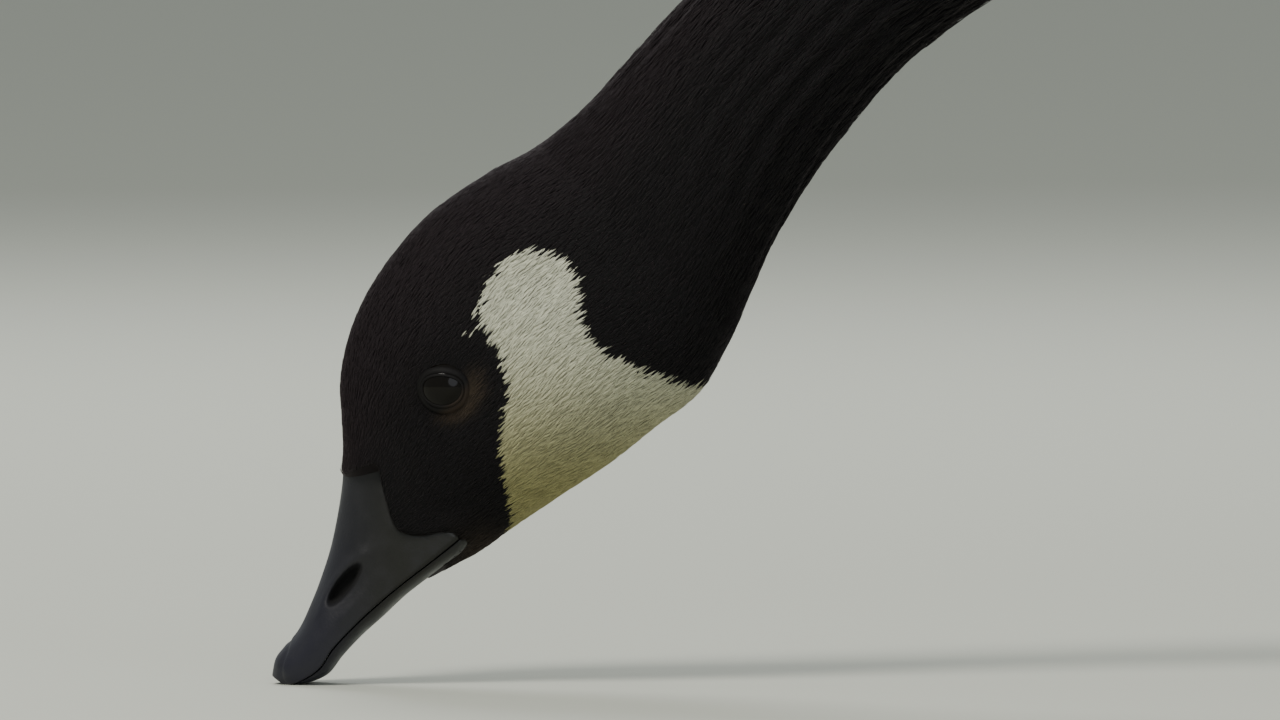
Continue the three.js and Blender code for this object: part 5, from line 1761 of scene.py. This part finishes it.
def leg_piece(name, leg):
    """Shank, foot and toes fused into one skin."""
    points, faces, count = joined(leg_tubes(leg), TUBE_SIDES)
    web_points, web_faces = web_sheet(np.array(leg["foot"], float), leg["side"], count)
    points.append(web_points)
    faces += web_faces
    rough = mesh_object(name + "_parts", placed(np.vstack(points)), faces)
    fuse = rough.modifiers.new("fuse", "REMESH")
    fuse.mode, fuse.voxel_size = "VOXEL", VOXEL
    soften = rough.modifiers.new("soften", "SMOOTH")
    soften.factor, soften.iterations = 0.5, 4
    shot = rough.evaluated_get(bpy.context.evaluated_depsgraph_get())
    mesh = bpy.data.meshes.new_from_object(shot)
    bpy.data.objects.remove(rough)
    places = np.empty(len(mesh.vertices) * 3)
    mesh.vertices.foreach_get("co", places)
    places[2::3] = np.maximum(places[2::3], 0.0)
    mesh.vertices.foreach_set("co", places)
    mesh.polygons.foreach_set("use_smooth", [True] * len(mesh.polygons))
    made = bpy.data.objects.new(name, mesh)
    bpy.context.scene.collection.objects.link(made)
    print(name, "triangles:", triangles(made))
    return made


print("tubes in a leg:", len(leg_tubes(LEGS["left"])))

# %% [markdown]
# ## Claws, leg skin and horn
#
# The claws are blunt black horn, worn by walking. The skin of the legs is dull black leather in
# small plates about two millimetres wide, which catch the light at their edges. Between them runs a
# fine grain, drawn 0.7 mm wide so that it shows.

# %% Build the legs
CLAW_LENGTH, CLAW_SIDES = 8.5, 16
HIND_CLAW = (14.5, 2.6, 6.0, 6.0)  # reach from the foot, radius, length, height
PLATES, GRAIN = 480.0, 1400.0  # to a metre


def claw_piece(name, leg):
    """The four claws of a foot, blunt from walking."""
    side, foot = leg["side"], np.array(leg["foot"], float)
    claws = [(turn, reach, radius, CLAW_LENGTH, TOE_HEIGHT) for turn, reach, radius in TOES.values()]
    claws.append((HIND_TURN, *HIND_CLAW))
    shares = np.linspace(-0.15, 1, 16)
    parts = []
    for turn, reach, radius, length, z in claws:
        girth = radius * np.interp(shares, [-0.15, 0.3, 0.7, 0.93, 1], [0.6, 0.54, 0.36, 0.17, 0.05])
        line = [toe_end(foot, side, turn, reach + length * s, z - 0.24 * z * s * s) for s in shares]
        parts.append((line, girth, girth * 1.05))
    points, faces, _ = joined(parts, CLAW_SIDES)
    return mesh_object(name, placed(np.vstack(points)), faces)


def scaled_leg_skin():
    """Scaled leg skin: nearly black, dull, with plates that catch the light at their edges."""
    material, tree = new_material("scaled_leg_skin")
    place = add_node(tree, "ShaderNodeTexCoord").outputs["Object"]
    plates = add_node(tree, "ShaderNodeTexVoronoi", {"Vector": place, "Scale": PLATES},
                      feature="DISTANCE_TO_EDGE")
    gap = add_node(tree, RANGE, [plates, 0.0, 0.16], **SOFTLY)
    grain = add_node(tree, "ShaderNodeTexNoise", {"Vector": place, "Scale": GRAIN, "Detail": 3.0})
    height = add_node(tree, MATH, [grain, 0.25, gap], operation="MULTIPLY_ADD")
    bump = add_node(tree, "ShaderNodeBump", {"Height": height, "Strength": 0.7, "Distance": 0.4 * MM})
    colour = add_node(tree, MIX, [gap, linear("#0f0e0e"), linear("#2a2829")], **IN_COLOUR)
    shader = add_node(tree, SHADER, {"Base Color": colour, "Normal": bump, "Roughness": 0.55})
    add_node(tree, OUTPUT, [shader])
    return material


def claw_horn():
    """Smooth black horn."""
    material, tree = new_material("claw_horn")
    shader = add_node(tree, SHADER, {"Base Color": linear("#161516"), "Roughness": 0.4})
    add_node(tree, OUTPUT, [shader])
    return material


LEATHER, CLAW_HORN = scaled_leg_skin(), claw_horn()
for side_name, leg in LEGS.items():
    skin_of_leg = leg_piece(f"leg_skin_{side_name}", leg)
    skin_of_leg.data.materials.append(LEATHER)
    claws = claw_piece(f"claw_tips_{side_name}", leg)
    claws.data.materials.append(CLAW_HORN)
    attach(skin_of_leg, "root")
    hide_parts(f"foot_{side_name}", f"shank_{side_name}")
    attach(claws, "root")
    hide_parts(*[f"claw_{side_name}_{toe}" for toe in ("inner", "middle", "outer", "hind")])

# %% [markdown]
# ## Camera, floor and light
#
# The view is the close one of the grazing head: a long lens from far away at the bird's left,
# barely above the ground. A pale plain floor and a large soft sky let the black plumage keep its
# shape, and one broad lamp from high in front on the left gives the crown its sheen.

# %% Stage
AIM = Vector((-0.3472, 0.0, 0.0729))
ELEVATION = math.radians(2.5)
DISTANCE = 5.0
SENSOR, SHOWN_WIDTH = 36.0, 0.288  # mm on the camera, metres across the frame
FLOOR_REACH = 6

lens_data = bpy.data.cameras.new("camera")
lens_data.sensor_width = SENSOR
lens_data.lens = SENSOR * DISTANCE / SHOWN_WIDTH
lens_data.clip_end = 100
camera = bpy.data.objects.new("camera", lens_data)
bpy.context.scene.collection.objects.link(camera)
toward = Vector((0, -math.cos(ELEVATION), math.sin(ELEVATION)))
camera.location = AIM + toward * DISTANCE
camera.rotation_euler = (-toward).to_track_quat("-Z", "Y").to_euler()
bpy.context.scene.camera = camera


def pale_matt_board():
    """Plain pale ground, matt, so that nothing draws the eye from the bird."""
    material, tree = new_material("pale_matt_board")
    shader = add_node(tree, SHADER, {"Base Color": linear("#c3c6bb"), "Roughness": 0.9})
    add_node(tree, OUTPUT, [shader])
    return material


corners = [(x * FLOOR_REACH, y * FLOOR_REACH, 0) for x, y in ((-1, -1), (1, -1), (1, 1), (-1, 1))]
floor = mesh_object("floor", corners, [(0, 1, 2, 3)], smooth=False)
floor.data.materials.append(pale_matt_board())


def area_light(name, place, target, size, power, tint):
    data = bpy.data.lights.new(name, "AREA")
    data.shape, data.size, data.energy = "DISK", size, power
    data.color = linear(tint)[:3]
    lamp = bpy.data.objects.new(name, data)
    lamp.location = place
    lamp.rotation_euler = (Vector(target) - Vector(place)).to_track_quat("-Z", "Y").to_euler()
    bpy.context.scene.collection.objects.link(lamp)


area_light("key", (-1.3, -1.5, 2.3), (-0.2, 0, 0.1), 1.1, 62, "#fffaf2")
area_light("fill", (0.6, -2.6, 1.0), (-0.1, 0, 0.15), 1.8, 16, "#eef3ff")
area_light("rim", (-0.6, 1.8, 1.6), (-0.2, 0, 0.15), 1.0, 24, "#ffffff")
world = bpy.data.worlds.new("sky")
world.use_nodes = True
background = world.node_tree.nodes["Background"]
background.inputs["Color"].default_value = linear("#dfe4e2")
background.inputs["Strength"].default_value = 0.55
bpy.context.scene.world = world
print("stage ready")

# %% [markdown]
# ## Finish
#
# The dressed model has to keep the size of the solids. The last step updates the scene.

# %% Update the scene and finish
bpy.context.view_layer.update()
